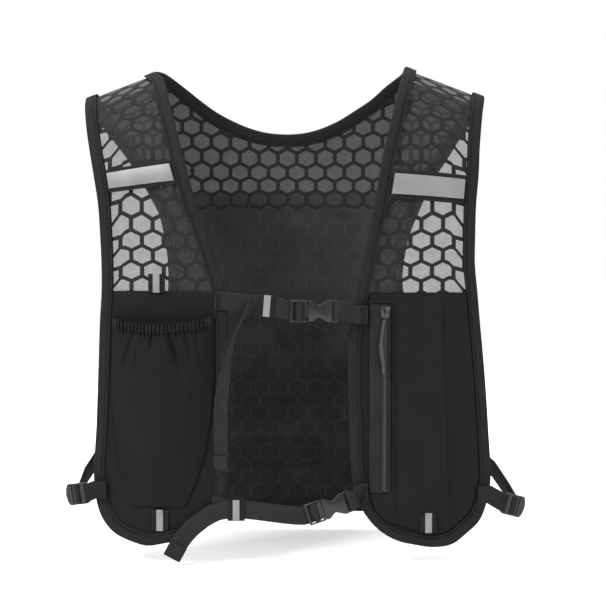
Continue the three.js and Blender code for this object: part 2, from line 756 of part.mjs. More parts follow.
// The pouch's cloth between two rows of its table, raised by an extra lift.
function pouchCloth(rows, raise) {
  const points = [];
  const lifts = [];
  rows.forEach((row) => {
    for (let column = 0; column <= POUCH.columns; column += 1) {
      const s = column / POUCH.columns;
      const x = -HALF_WIDTH * (row.outer + (row.inner - row.outer) * s);
      const mouth = POUCH.mouth - POUCH.rise * s + POUCH.dip * Math.sin(Math.PI * s);
      const z = -(mouth + (POUCH.foot - mouth) * row.down);
      points.push([x, runAtLevel(FRONT, x, z)]);
      lifts.push(pouchLift(row, s, column) + raise);
    }
  });
  const width = POUCH.columns + 1;
  const faces = [];
  for (let r = 0; r + 1 < rows.length; r += 1) {
    for (let c = 0; c < POUCH.columns; c += 1) {
      const [a, b] = [r * width + c, r * width + c + 1];
      faces.push([a, a + width, b], [b, a + width, b + width]);
    }
  }
  const turned = faces.map((face) => (signedArea(face.map((i) => points[i])) > 0 ? [...face].reverse() : face));
  return thicken(points, turned, CLOTH, (x, run, i) => lifts[i]);
}

addPiece('flask_pocket', pouchCloth(POUCH_ROWS, 0), 'fabric');
addPiece('flask_pocket_hem', pouchCloth(POUCH_ROWS.slice(0, 2), CLOTH + LAYER_GAP), 'elastic');

// The zip pocket on the right front

const ZIP = { x: 82.2, top: 192, foot: 361, tape: 19.4, wall: 1, coilX: 85.5, coil: 5.6, coilHeight: 1.4 };
const PLEAT = { top: 138, foot: 147, half: 5, height: 1.3 };
const POCKET_LIFT = CLOTH + LAYER_GAP;

// An outline on the front with a notch in its inner edge, out to x and between two heights.
function notched(outline, right, top, foot) {
  const over = ([x, run], z) => run - runAtLevel(FRONT, x, z);
  const inside = (point) => point[0] < right && over(point, top) > 0 && over(point, foot) < 0;
  const made = [];
  outline.forEach((p, i) => {
    const q = outline[(i + 1) % outline.length];
    if (!inside(p)) made.push(p);
    if (inside(p) === inside(q)) return;
    const z = over(p, top) * over(q, top) < 0 ? top : foot;
    const share = over(p, z) / (over(p, z) - over(q, z));
    const line = levelLine(FRONT, p[0] + (q[0] - p[0]) * share, right, z, 3);
    made.push(...(inside(q) ? line : line.reverse()));
  });
  return made;
}

function addZipPocket() {
  const inset = BINDING_EDGE + LAYER_GAP;
  const top = joinRuns(RIGHT, 'panelTop').map((run) => run - inset);
  const panel = frontOutline(RIGHT, top, [frontOuter(RIGHT).at(-1)[1], frontInner(RIGHT).at(-3)[1]]);
  const outline = offsetLoop(turnedPositive(panel), inset);
  const runs = [top[0], 0.6 * FRONT_DROP, 0.75 * FRONT_DROP, 0.9 * FRONT_DROP, 1.3 * FRONT_DROP];
  const span = runs.at(-1) - runs[0];
  const pleatAt = (run) => PLEAT.top + ((PLEAT.foot - PLEAT.top) * (run - runs[0])) / span;
  const columns = [
    () => 0, () => 112, (run) => pleatAt(run) - PLEAT.half, pleatAt,
    (run) => pleatAt(run) + PLEAT.half, () => HALF_WIDTH * 1.1,
  ];
  const tiles = columns.slice(1).flatMap((right, i) => runs.slice(1).map((low, j) => [
    [columns[i](runs[j]), runs[j]], [right(runs[j]), runs[j]], [right(low), low], [columns[i](low), low],
  ]));
  const ridge = (x, run) => PLEAT.height * Math.max(1 - Math.abs(x - pleatAt(run)) / PLEAT.half, 0);
  const edge = ZIP.x + ZIP.tape / 2 + LAYER_GAP;
  const open = notched(outline, edge, LAYER_GAP - ZIP.top, -ZIP.foot - LAYER_GAP);
  const cloth = sheet(open, tiles, { lift: (x, run) => POCKET_LIFT + ridge(x, run) });
  addPiece('zip_pocket', cloth, 'fabric');

  const low = ZIP.x - ZIP.tape / 2;
  const high = ZIP.x + ZIP.tape / 2;
  const tape = [...levelLine(FRONT, low, high, -ZIP.top, 2), ...levelLine(FRONT, high, low, -ZIP.foot, 2)];
  const tapeLift = POCKET_LIFT - (CLOTH - ZIP.wall) / 2;
  addPiece('zipper_tape', sheet(tape, [tape], { wall: ZIP.wall, lift: () => tapeLift }), 'webbing');
  const coilLift = tapeLift + ZIP.wall / 2 + 0.3 + ZIP.coilHeight / 2;
  const across = new THREE.Vector3(1, Math.tan(yawAt(ZIP.coilX)), 0);
  const coil = [ZIP.top + 1, ZIP.foot - 1].map((drop) => ({ at: onFront(ZIP.coilX, -drop, coilLift), across }));
  addPiece('zipper_coil', strap(coil, ZIP.coil, ZIP.coilHeight), 'webbing');
  addSlider(coilLift + ZIP.coilHeight / 2 + 0.3);
}

// A frame for hardware: u along the strap, v up and w outwards, turned by a tilt and a yaw.
function hardwareFrame(at, tilt, yaw = 0) {
  const u = new THREE.Vector3(Math.cos(tilt) * Math.cos(yaw), Math.sin(yaw), Math.sin(tilt)).normalize();
  const w = new THREE.Vector3().crossVectors(u, new THREE.Vector3(0, 0, 1)).normalize();
  return { at, u, v: new THREE.Vector3().crossVectors(w, u), w };
}

function inFrame(frame, u, v, w) {
  return frame.at.clone().addScaledVector(frame.u, u).addScaledVector(frame.v, v).addScaledVector(frame.w, w);
}

const SLIDER = { z: -199, length: 10, wide: 9.4, narrow: 6.6, wall: 1.8, bridge: 2.6 };
const PULL_ROWS = table(['dx', 'down', 'lift', 'radius'], [
  [-0.6, 6.6, 1.8, 1.7],
  [-1.6, 11, 1.9, 1.6],
  [-3, 20, 1.9, 1.6],
  [-3.6, 28.4, 2.2, 1.6],
  [-3.7, 28.8, 2.3, 2.4],
  [-3.2, 36, 2.3, 2.2],
  [-1.8, 45, 2.3, 1.9],
  [-1.4, 54, 2.4, 1.7],
]);

function addSlider(lift) {
  const frame = hardwareFrame(onFront(ZIP.coilX, SLIDER.z, lift), 0, yawAt(ZIP.coilX));
  const { length, wide, narrow, wall, bridge } = SLIDER;
  const body = plate([
    [-wide / 2, length / 2], [-narrow / 2, -length / 2], [narrow / 2, -length / 2], [wide / 2, length / 2],
  ], [], 0, wall);
  const arch = plate([[-1, -3.6], [1, -3.6], [1, 3.6], [-1, 3.6]], [], wall - 0.2, wall + bridge);
  addPiece('zipper_slider', join(body, arch), 'metal', frame);
  const loops = PULL_ROWS.map((row) => Array.from({ length: 6 }, (_, i) => {
    const angle = (i * Math.PI) / 3;
    const [across, out] = [Math.cos(angle) * row.radius, Math.sin(angle) * row.radius];
    return inFrame(frame, row.dx + across, -row.down, row.lift + out);
  }));
  const caps = Array.from({ length: 4 }, (_, i) => [0, i + 1, i + 2]);
  addPiece('zipper_pull', loft(loops, caps), 'plastic');
}

// How far the front turns away from the viewer at x.
function yawAt(x) {
  return Math.atan((2 * FRONT.reach * FRONT.flare * x) / HALF_WIDTH ** 2);
}

addZipPocket();

// Side-release buckles with their straps

const STRAP_LIFT = POCKET_LIFT + CLOTH_TOP + LAYER_GAP + WEBBING / 2;
const SECOND_LIFT = STRAP_LIFT + WEBBING + LAYER_GAP;
const BAR_LOW = SECOND_LIFT + WEBBING / 2 + LAYER_GAP;
const BAR_MIDDLE = BAR_LOW + BAR / 2;
const LOOP = BAR / 2 + LAYER_GAP + WEBBING / 2; // webbing's middle round a bar
const BODY = { start: 15.6, end: 36, wall: 5.2, notch: 24.8, notchDepth: 4.6 };
const LADDER_BAR = 7.9; // middle of the bar that the webbing turns round
const END_BAR = 40.5; // middle of the bar that the sewn loop holds

function addBuckle(name, frame) {
  const half = BUCKLE_WIDTH / 2;
  const slotHalf = WEBBING_WIDTH / 2 + 0.4;
  const tongue = half - BODY.notchDepth + 1;
  const male = plate(
    [
      [0, -half], [15, -half], [15, -tongue], [33, -tongue + 1.6], [33, tongue - 1.6],
      [15, tongue], [15, half], [0, half],
    ],
    [
      rectangle(BAR, -slotHalf, LADDER_BAR - BAR / 2, slotHalf),
      rectangle(LADDER_BAR + BAR / 2, -slotHalf, 13, slotHalf),
      rectangle(17, -2.6, 30, 2.6),
    ],
    BAR_LOW,
    BAR_LOW + BAR,
  );
  addPiece(`${name}_buckle_male`, male, 'plastic', frame);
  const { start, end, notch, notchDepth, wall } = BODY;
  const notchAt = (sign) => [
    [start, sign * (half - 0.6)], [start + 3.4, sign * (half - 0.6)],
    [notch, sign * (half - notchDepth)], [end - 3, sign * half], [end, sign * half],
  ];
  const body = plate([...notchAt(-1), ...notchAt(1).reverse()], [], BAR_MIDDLE - wall / 2, BAR_MIDDLE + wall / 2);
  const loop = plate(
    rectangle(end - 1, -half, END_BAR + BAR / 2, half),
    [rectangle(end, -slotHalf, END_BAR - BAR / 2, slotHalf)],
    BAR_LOW,
    BAR_LOW + BAR,
  );
  const room = new THREE.BoxGeometry(34 - start + 4, 2 * tongue + 0.8, BAR + 0.8);
  room.translate((34 + start - 4) / 2, 0, BAR_MIDDLE);
  addPiece(`${name}_buckle_female`, cut(join(body, loop), room), 'plastic', frame);
}

// Stations of a strap in a hardware frame, from rows of [u, w].
function frameStations(frame, rows) {
  return rows.map(([u, w]) => ({ at: inFrame(frame, u, 0, w), across: frame.v }));
}

// Stations round a bar, from one angle to another; zero is along u and a quarter turn is outwards.
function roundBar(frame, barAt, from, to, middle = BAR_MIDDLE, steps = 6) {
  return frameStations(frame, Array.from({ length: steps + 1 }, (_, i) => {
    const angle = ((from + ((to - from) * i) / steps) * Math.PI) / 180;
    return [barAt + LOOP * Math.cos(angle), middle + LOOP * Math.sin(angle)];
  }));
}

// Stations on the front of the form, from rows of [x, z, lift] with an upright width.
function formStations(rows) {
  return rows.map(([x, z, lift]) => ({ at: onFront(x, z, lift), across: new THREE.Vector3(0, 0, 1) }));
}

// The adjustable webbing: sewn to the left front, out to the ladder, back through the keeper.
function adjustable(anchor, keeper, buckle, tail) {
  return [
    ...formStations(anchor),
    ...frameStations(keeper, [[-8, STRAP_LIFT], [8, STRAP_LIFT]]),
    ...frameStations(buckle, [[-3, STRAP_LIFT], [LADDER_BAR - 1, STRAP_LIFT]]),
    ...roundBar(buckle, LADDER_BAR, -50, 210),
    ...frameStations(buckle, [[3, SECOND_LIFT], [-3, SECOND_LIFT]]),
    ...frameStations(keeper, [[8, SECOND_LIFT], [-8, SECOND_LIFT]]),
    ...tail,
  ];
}

// The sewn loop on the right front: both layers run from the panel and round the end bar.
function sewnLoop(buckle, anchor) {
  const layer = (lift) => formStations(anchor.map(([x, z]) => [x, z, lift]));
  return [
    ...layer(SECOND_LIFT),
    ...frameStations(buckle, [[END_BAR + 5, BAR_MIDDLE + 0.6]]),
    ...roundBar(buckle, END_BAR, 70, 290),
    ...frameStations(buckle, [[END_BAR + 5, STRAP_LIFT + 0.6]]),
    ...layer(STRAP_LIFT).reverse(),
  ];
}

// An elastic loop round both layers of a strap, with a reflective stripe on it.
function addKeeper(name, frame, length, stripe) {
  const wall = 1;
  const low = STRAP_LIFT - WEBBING / 2 - LAYER_GAP;
  const high = SECOND_LIFT + WEBBING / 2 + LAYER_GAP;
  const half = WEBBING_WIDTH / 2 + 0.4;
  const turned = { at: inFrame(frame, -length / 2, 0, 0), u: frame.v, v: frame.w, w: frame.u };
  const band = plate(rectangle(-half - wall, low - wall, half + wall, high + wall), [rectangle(-half, low, half, high)], 0, length);
  addPiece(`${name}_keeper`, band, 'elastic', turned);
  const top = high + wall + 0.3;
  addPiece(`${name}_keeper_stripe`, plate(rectangle(-stripe / 2, -half - wall, stripe / 2, half + wall), [], top, top + 1), 'reflective', frame);
}

// Doubles the end of a strap back on itself as a sewn hem.
function hemmed(stations, length) {
  const end = stations.at(-1);
  const along = end.at.clone().sub(stations.at(-2).at).normalize();
  const out = new THREE.Vector3().crossVectors(along, end.across).normalize();
  if (out.y > 0) out.negate();
  const fold = WEBBING + LAYER_GAP;
  const turn = [[0.5, 0.15], [0.75, 0.5], [0.5, 0.85], [-0.4, 1], [-length, 1]];
  return [...stations, ...turn.map(([a, o]) => ({
    at: end.at.clone().addScaledVector(along, a * (a > 0 ? fold : 1)).addScaledVector(out, o * fold),
    across: end.across,
  }))];
}

// Stations of a hanging tail: x, height, distance out and the width's turn towards the viewer.
const TAIL_COLUMNS = ['x', 'z', 'out', 'swing', 'lean'];

function tailStations(rows) {
  return table(TAIL_COLUMNS, rows).map(({ x, z, out, swing, lean }) => {
    const [a, b] = [(swing * Math.PI) / 180, (lean * Math.PI) / 180];
    const across = new THREE.Vector3(Math.sin(b) * Math.cos(a), -Math.sin(a), Math.cos(b) * Math.cos(a));
    return { at: new THREE.Vector3(x, -(FRONT.reach + out), z), across };
  });
}

const strapPlane = -FRONT.reach;

function addChestStrap() {
  const buckle = hardwareFrame(new THREE.Vector3(3.1, strapPlane, -197), 0);
  const keeper = hardwareFrame(new THREE.Vector3(-17.6, strapPlane, -192.6), -0.08);
  addBuckle('chest', buckle);
  addKeeper('chest', keeper, 13, 6);
  const tail = tailStations([
    [-31, -193, 6.6, 25, 0],
    [-35, -197, 9, 60, 0],
    [-40, -206, 11.5, 84, 30],
    [-46, -219, 12.5, 84, 60],
    [-51, -236, 12, 70, 80],
    [-55, -256, 10.5, 50, 90],
    [-58, -280, 9.5, 42, 90],
    [-58.5, -310, 9, 40, 90],
    [-57, -336, 9, 40, 90],
  ]);
  const anchor = [[-63, -188.5, STRAP_LIFT], [-54, -189, STRAP_LIFT], [-40, -190.4, STRAP_LIFT + 0.4]];
  addPiece('chest_strap_left', strap(hemmed(adjustable(anchor, keeper, buckle, tail), 11)), 'webbing');
  addPiece('chest_strap_right', strap(sewnLoop(buckle, [[70, -201], [60, -200.6]])), 'webbing');
}

function addWaistStrap() {
  const buckle = hardwareFrame(new THREE.Vector3(17.7, strapPlane, -378.5), 0.33);
  const keeper = hardwareFrame(new THREE.Vector3(-45, strapPlane, -374.2), 0);
  addBuckle('waist', buckle);
  addKeeper('waist', keeper, 15, 6);
  const tail = tailStations([
    [-62, -376.5, 2.2, 0, -14],
    [-72, -382, 0.6, 0, -32],
    [-84, -391.5, -1, 0, -44],
    [-93, -402, -2, 0, -54],
    [-98, -410, -2, 0, -60],
  ]);
  const anchor = [[-66, -371, STRAP_LIFT], [-58, -371.6, STRAP_LIFT]];
  addPiece('waist_strap_left', strap(hemmed(adjustable(anchor, keeper, buckle, tail), 12)), 'webbing');
  addPiece('waist_strap_right', strap(sewnLoop(buckle, [[71, -359.5], [62, -360.5]])), 'webbing');
}
addChestStrap();
addWaistStrap();

// Side straps with their sliding buckles

const SIDE = {
  left: { x: -(0.956 * HALF_WIDTH + 15.72), y: -64.2, z: -365.4, tilt: 0.16, anchorZ: -361 },
  right: { x: 1.006 * HALF_WIDTH + 21.92, y: -60, z: -376.5, tilt: -0.28, anchorZ: -366 },
};
const SIDE_YAW = 0.26;
const BACK_STRAP_LIFT = BACK_POCKET_LIFT + CLOTH_TOP + LAYER_GAP + WEBBING / 2;
const SIDE_BACK_ROWS = table(['x', 'y', 'rise'], [
  [0.99, -0.15, 7],
  [0.95, 0.3, 17],
  [0.89, 0.68, 25],
]);

const SIDE_BACK_ENDS = [0.84, 0.72]; // shares of the half width where the strap lies on the back
const SIDE_BACK_RISE = 27;

function addSideStrap(side) {
  const place3 = SIDE[side.name];
  const frame = hardwareFrame(new THREE.Vector3(place3.x, place3.y, place3.z), place3.tilt, side.sign * SIDE_YAW);
  const half = BUCKLE_WIDTH / 2;
  const slotHalf = WEBBING_WIDTH / 2 + 0.4;
  const outward = (rows) => rows.map(([u, v]) => [side.sign * u, v]);
  const rim = [
    [-10, -half + 0.8], [-8, -half], [8.5, -half], [10.5, -half * 0.6],
    [11.4, 0], [10.5, half * 0.6], [8.5, half], [-8, half], [-10, half - 0.8],
  ];
  const holes = [[-8, -BAR / 2], [BAR / 2, 8]].map(([low, high]) => rectangle(low, -slotHalf, high, slotHalf));
  addPiece(`side_slider_${side.name}`, plate(outward(rim), holes.map(outward), -BAR / 2, BAR / 2), 'plastic', frame);

  const onPanel = (inset, lift) => {
    const edge = frontOuter(side);
    const [x] = slice(edge, runAtLevel(FRONT, place3.x, place3.anchorZ), edge.at(-1)[1])[0];
    return onFront(x - side.sign * inset, place3.anchorZ, lift);
  };
  const up = new THREE.Vector3(0, 0, 1);
  const layer = (lift) => [11, 1].map((inset) => ({ at: onPanel(inset, lift), across: up }));
  const turn = (low, high) => roundBar(frame, 0, low, high, 0).map(({ at, across }) => ({
    at: at.addScaledVector(frame.u, -side.sign * 9), across,
  }));
  const swing = side === RIGHT ? turn(100, -100) : turn(80, 280);
  addPiece(`side_strap_front_${side.name}`, strap([...layer(SECOND_LIFT), ...swing, ...layer(STRAP_LIFT).reverse()]), 'webbing');

  const middle = side === RIGHT ? roundBar(frame, 0, 180, -30, 0) : roundBar(frame, 0, 0, 210, 0);
  const back = SIDE_BACK_ROWS.map((row) => ({
    at: new THREE.Vector3(side.sign * row.x * Math.abs(place3.x), row.y * BACK.reach, place3.z + row.rise), across: up,
  }));
  const leg = SIDE_BACK_ENDS.map((share) => {
    const run = runAtLevel(BACK, share * HALF_WIDTH, place3.z + SIDE_BACK_RISE);
    return { at: place(side.sign * share * HALF_WIDTH, run, BACK_STRAP_LIFT), across: up };
  });
  const tail = side === RIGHT ? middle : middle.reverse();
  addPiece(`side_strap_back_${side.name}`, strap([...tail, ...back, ...leg]), 'webbing');
}
SIDES.forEach(addSideStrap);

// Reflective pull tabs

function addTab(name, x, z, width, height, lift) {
  const strip = (half, extra) => {
    const outline = [...levelLine(FRONT, x - half, x + half, z, 1), ...levelLine(FRONT, x + half, x - half, z - height, 1)];
    return sheet(outline, [outline], { wall: 1, lift: () => lift + extra });
  };
  addPiece(`${name}_tab`, strip(width / 2, 0), 'elastic');
  addPiece(`${name}_tab_stripe`, strip(width * 0.2, 1.4), 'reflective');
}
addTab('chest', -114.7, -166, 15, 16.5, CLOTH_TOP + LAYER_GAP + 0.5);
addTab('foot_left', -113, -377, 15, 19, CLOTH_TOP + LAYER_GAP + 0.5);
addTab('foot_right', 125, -380, 15, 18, POCKET_LIFT + CLOTH_TOP + LAYER_GAP + 0.5);

export default vest;
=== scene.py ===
"""Running hydration vest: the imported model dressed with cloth, webbing, trim and studio light."""

import logging
import math
from dataclasses import dataclass
from enum import Enum
from functools import cache
from typing import Callable, Iterable, Sequence

import bmesh
import bpy
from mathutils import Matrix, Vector, noise


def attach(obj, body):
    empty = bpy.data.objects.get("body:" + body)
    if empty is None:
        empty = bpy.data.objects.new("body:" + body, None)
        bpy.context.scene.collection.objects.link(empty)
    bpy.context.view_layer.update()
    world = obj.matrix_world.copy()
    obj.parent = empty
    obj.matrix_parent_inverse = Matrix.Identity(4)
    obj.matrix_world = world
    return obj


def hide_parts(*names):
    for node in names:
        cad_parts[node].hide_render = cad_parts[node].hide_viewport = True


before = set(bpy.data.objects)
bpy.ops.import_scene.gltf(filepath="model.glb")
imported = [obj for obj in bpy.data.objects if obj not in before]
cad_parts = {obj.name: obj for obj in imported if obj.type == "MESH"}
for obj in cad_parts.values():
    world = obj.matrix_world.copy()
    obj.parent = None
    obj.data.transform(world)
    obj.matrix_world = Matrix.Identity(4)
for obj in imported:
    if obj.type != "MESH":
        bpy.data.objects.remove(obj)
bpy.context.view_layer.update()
LOG = logging.getLogger("vest")
MM = 0.001
HEX_PITCH, HEX_ROW = 18.0, 12.6
Spot = tuple[float, float]
Line = list[Spot]
Rows = Sequence[Sequence[float]]


class Side(Enum):
    """The two fronts, named as seen from the front."""

    LEFT = -1
    RIGHT = 1

    @property
    def label(self) -> str:
        """The side's name in lower case."""
        return self.name.lower()

    @property
    def column(self) -> int:
        """The side's column in a table of drop, left and right."""
        return 1 if self is Side.LEFT else 2


@dataclass(frozen=True)
class Half:
    """Front or back half of the body form, in millimetres."""

    side: int
    reach: float
    fall: float
    flare: float

    @property
    def turn(self) -> float:
        """Length of cloth over the rounded top."""
        return (self.reach + self.fall) / 2 * math.pi / 2


FRONT = Half(-1, 88, 130, 0.33)
BACK = Half(1, 82, 115, 0.27)


class Form:
    """The smooth form that every panel lies on, given by x, the run along the cloth and the lift."""

    half_width = 180.0
    front_drop = 408.0
    back_drop = 404.0
    neck_drop = 89.0
    strap_middle = 145.0
    slope = 0.41
    rounding = 60.0

    def crest(self, x: float) -> float:
        """Height of the shoulder crest at x."""
        middle = math.hypot(self.strap_middle, self.rounding)
        return self.slope * (middle - math.hypot(x, self.rounding))

    def run_at(self, half: Half, drop: float) -> float:
        """Run of the cloth at a drop below the crest.

        Args:
            half: Front or back.
            drop: Height lost from the crest.

        Returns:
            The run, positive on the front.
        """
        if drop < half.fall:
            run = half.turn * math.acos(1 - max(drop, 0) / half.fall) / (math.pi / 2)
        else:
            run = half.turn + drop - half.fall
        return -half.side * run

    def run_at_level(self, half: Half, x: float, z: float) -> float:
        """Run of the cloth at x and a height."""
        return self.run_at(half, self.crest(x) - z)

    def front_run(self, share: float) -> float:
        """Run on the front at a share of its whole drop."""
        return self.run_at(FRONT, share * self.front_drop)

    def place(self, x: float, run: float, lift: float = 0.0) -> Vector:
        """The point of the form at x and run, lifted outwards.

        Args:
            x: Place across the vest.
            run: Length along the cloth from the crest, positive on the front.
            lift: Distance off the form.

        Returns:
            The point in millimetres.
        """
        half = FRONT if run >= 0 else BACK
        length = abs(run)
        angle = min(length / half.turn, 1) * math.pi / 2
        bent = length < half.turn
        drop = half.fall * (1 - math.cos(angle)) if bent else half.fall + length - half.turn
        reach = half.reach * (1 - half.flare * (x / self.half_width) ** 2)
        reach_slope = -2 * half.reach * half.flare * x / self.half_width**2
        y = half.side * reach * math.sin(angle)
        normal = Vector((-reach_slope, half.side, 0))
        if bent:
            left = 1 - drop / half.fall
            crest_slope = -self.slope * x / math.hypot(x, self.rounding)
            normal = Vector((
                -2 * y * y * reach_slope / reach**3 - 2 * left * crest_slope / half.fall,
                2 * y / reach**2,
                2 * left / half.fall,
            ))
        return Vector((x, y, self.crest(x) - drop)) + normal.normalized() * lift

    def on_front(self, x: float, z: float, lift: float) -> Vector:
        """A point on the front at a height, lifted off it."""
        return self.place(x, self.run_at_level(FRONT, x, z), lift)


FORM = Form()


class Edges:
    """The edges of the vest's panels as lines of x and run, from tables of shares."""

    # outer drop, outer left, outer right, inner drop left, inner left, inner drop right, inner right
    front_rows = (
        (0, 1.008, 0.984, 0, 0.669, 0, 0.597),
        (0.005, 1.007, 0.981, 0.005, 0.656, 0.005, 0.593),
        (0.017, 1.005, 0.974, 0.017, 0.627, 0.017, 0.581),
        (0.039, 0.998, 0.964, 0.039, 0.607, 0.042, 0.562),
        (0.074, 0.986, 0.953, 0.078, 0.585, 0.083, 0.54),
        (0.118, 0.968, 0.943, 0.132, 0.553, 0.142, 0.507),
        (0.172, 0.946, 0.936, 0.199, 0.515, 0.216, 0.47),
        (0.24, 0.922, 0.922, 0.277, 0.47, 0.292, 0.443),
        (0.309, 0.912, 0.918, 0.36, 0.41, 0.368, 0.411),
        (0.37, 0.907, 0.918, 0.444, 0.354, 0.444, 0.378),
        (0.43, 0.908, 0.932, 0.522, 0.309, 0.52, 0.345),
        (0.49, 0.917, 0.945, 0.588, 0.297, 0.588, 0.316),
        (0.6, 0.928, 0.971, 0.681, 0.296, 0.681, 0.306),
        (0.716, 0.94, 0.992, 0.789, 0.298, 0.789, 0.313),
        (0.833, 0.956, 1.006, 0.912, 0.301, 0.912, 0.325),
        (0.887, 0.944, 0.986, 0.963, 0.317, 0.963, 0.349),
        (0.929, 0.915, 0.952, 0.998, 0.366, 0.998, 0.396),
        (0.968, 0.859, 0.885, 1.021, 0.442, 1.021, 0.461),
        (1.002, 0.767, 0.811, 1.031, 0.533, 1.031, 0.544),
        (1.022, 0.689, 0.711, 1.028, 0.611, 1.028, 0.633),
    )
    # drop, left, right
    armhole_rows = (
        (0, 1.008, 0.984), (0.02, 0.997, 0.975), (0.05, 0.972, 0.95), (0.084, 0.937, 0.918),
        (0.124, 0.886, 0.872), (0.168, 0.832, 0.826), (0.218, 0.778, 0.769), (0.272, 0.722, 0.717),
        (0.322, 0.675, 0.678), (0.366, 0.652, 0.643), (0.421, 0.633, 0.614), (0.495, 0.626, 0.597),
        (0.58, 0.65, 0.628), (0.67, 0.715, 0.7), (0.77, 0.79, 0.785), (0.865, 0.835, 0.835),
        (0.928, 0.82, 0.82), (0.97, 0.765, 0.765),
    )
    neck_rows = (
        (0, 0.669, 0.597), (0.07, 0.616, 0.589), (0.16, 0.578, 0.553), (0.27, 0.532, 0.507),
        (0.45, 0.457, 0.437), (0.63, 0.373, 0.348), (0.78, 0.284, 0.266), (0.9, 0.192, 0.178),
        (0.975, 0.1, 0.09),
    )
    hem_half = 0.66 * Form.half_width
    hem_drop = 408.5
    hem_gap = 3.5
    guide = 0.4
    panel_top = {Side.LEFT: (0.43, 0.522), Side.RIGHT: (0.43, 0.52)}
    band = {Side.LEFT: ((0.172, 0.199), (0.223, 0.257)), Side.RIGHT: ((0.185, 0.225), (0.248, 0.292))}

    @staticmethod
    def traced(rows: Rows, half: Half, drop: float, side: Side, columns: tuple[int, int]) -> Line:
        """One edge from a table of shares.

        Args:
            rows: The table.
            half: The half of the form it lies on.
            drop: The drop that a share of 1 stands for.
            side: The side of the vest.
            columns: The table's columns of drop and of half width.

        Returns:
            The edge, from the crest down.
        """
        down, across = columns
        return [(side.value * row[across] * FORM.half_width, FORM.run_at(half, row[down] * drop))
                for row in rows]

    def front_outer(self, side: Side) -> Line:
        """The armhole edge of a front, from the crest down."""
        return self.traced(self.front_rows, FRONT, FORM.front_drop, side, (0, side.column))

    def front_inner(self, side: Side) -> Line:
        """The opening edge of a front, from the crest down."""
        first = 2 * side.column + 1
        return self.traced(self.front_rows, FRONT, FORM.front_drop, side, (first, first + 1))

    def back_outer(self, side: Side) -> Line:
        """The armhole edge of the back, from the crest down."""
        return self.traced(self.armhole_rows, BACK, FORM.back_drop, side, (0, side.column))

    def neck(self, side: Side) -> Line:
        """Half of the back neckline, from the crest to near its lowest point."""
        return self.traced(self.neck_rows, BACK, FORM.neck_drop, side, (0, side.column))

    @property
    def neck_low(self) -> Spot:
        """The lowest point of the back neckline."""
        return (0.0, FORM.run_at(BACK, FORM.neck_drop))

    def opening(self) -> Line:
        """The whole front opening and neckline, with a guide point beyond each end.

        Returns:
            The line, from the right front's foot to the left front's.
        """
        feet = [self.front_outer(side)[-2:] for side in Side]
        ends = [[(x - side.value * self.guide, run), before] for side, (before, (x, run)) in zip(Side, feet)]
        halves = [[*reversed(self.front_inner(side)[1:]), *self.neck(side)] for side in Side]
        line = [*reversed(ends[0]), *halves[0], self.neck_low, *reversed(halves[1]), *ends[1]]
        return line[::-1]

    def armhole(self, side: Side) -> Line:
        """The whole outer edge of one side, with a guide point beyond its front foot.

        Args:
            side: Which side.

        Returns:
            The line, running so that the cloth lies on its left.
        """
        corner = (side.value * (self.hem_half + self.hem_gap),
                  FORM.run_at(BACK, FORM.crest(self.hem_half) + self.hem_drop))
        front = reversed(self.front_outer(side)[1:])
        line = [self.front_inner(side)[-1], *front, *self.back_outer(side), corner]
        return line if side is Side.LEFT else line[::-1]

    def hem(self) -> Line:
        """The straight hem of the back."""
        places = [share * (self.hem_half - self.hem_gap) for share in (-1, -0.5, 0, 0.5, 1)]
        return [(x, FORM.run_at_level(BACK, x, -self.hem_drop)) for x in places]

    def crossing(self, side: Side, runs: Sequence[float], inset: float, down: float = 0.0) -> Line:
        """Both ends of a line across a front.

        Args:
            side: Which front.
            runs: Its runs at the armhole edge and at the opening edge.
            inset: How far inside the edges it ends.
            down: How far it lies below the runs.

        Returns:
            The end near the armhole and the end near the opening.
        """
        ends = zip((self.front_outer(side), self.front_inner(side)), runs, (-inset, inset))
        spots = [(at_run(edge, run), side.value * inwards) for edge, run, inwards in ends]
        return [(x + inwards, run + down) for (x, run), inwards in spots]


EDGES = Edges()


def at_run(line: Line, run: float) -> Spot:
    """The point of an edge at a run, or its nearer end.

    Args:
        line: The edge.
        run: The run looked for.

    Returns:
        The point.
    """
    for a, b in zip(line, line[1:]):
        if (a[1] - run) * (b[1] - run) <= 0 and a[1] != b[1]:
            share = (run - a[1]) / (b[1] - a[1])
            return (a[0] + (b[0] - a[0]) * share, run)
    return min((line[0], line[-1]), key=lambda p: abs(p[1] - run))


def between(line: Line, start: float, end: float) -> Line:
    """The part of an edge between two runs."""
    low, high = min(start, end), max(start, end)
    return [at_run(line, start), *[p for p in line if low + 1 < p[1] < high - 1], at_run(line, end)]


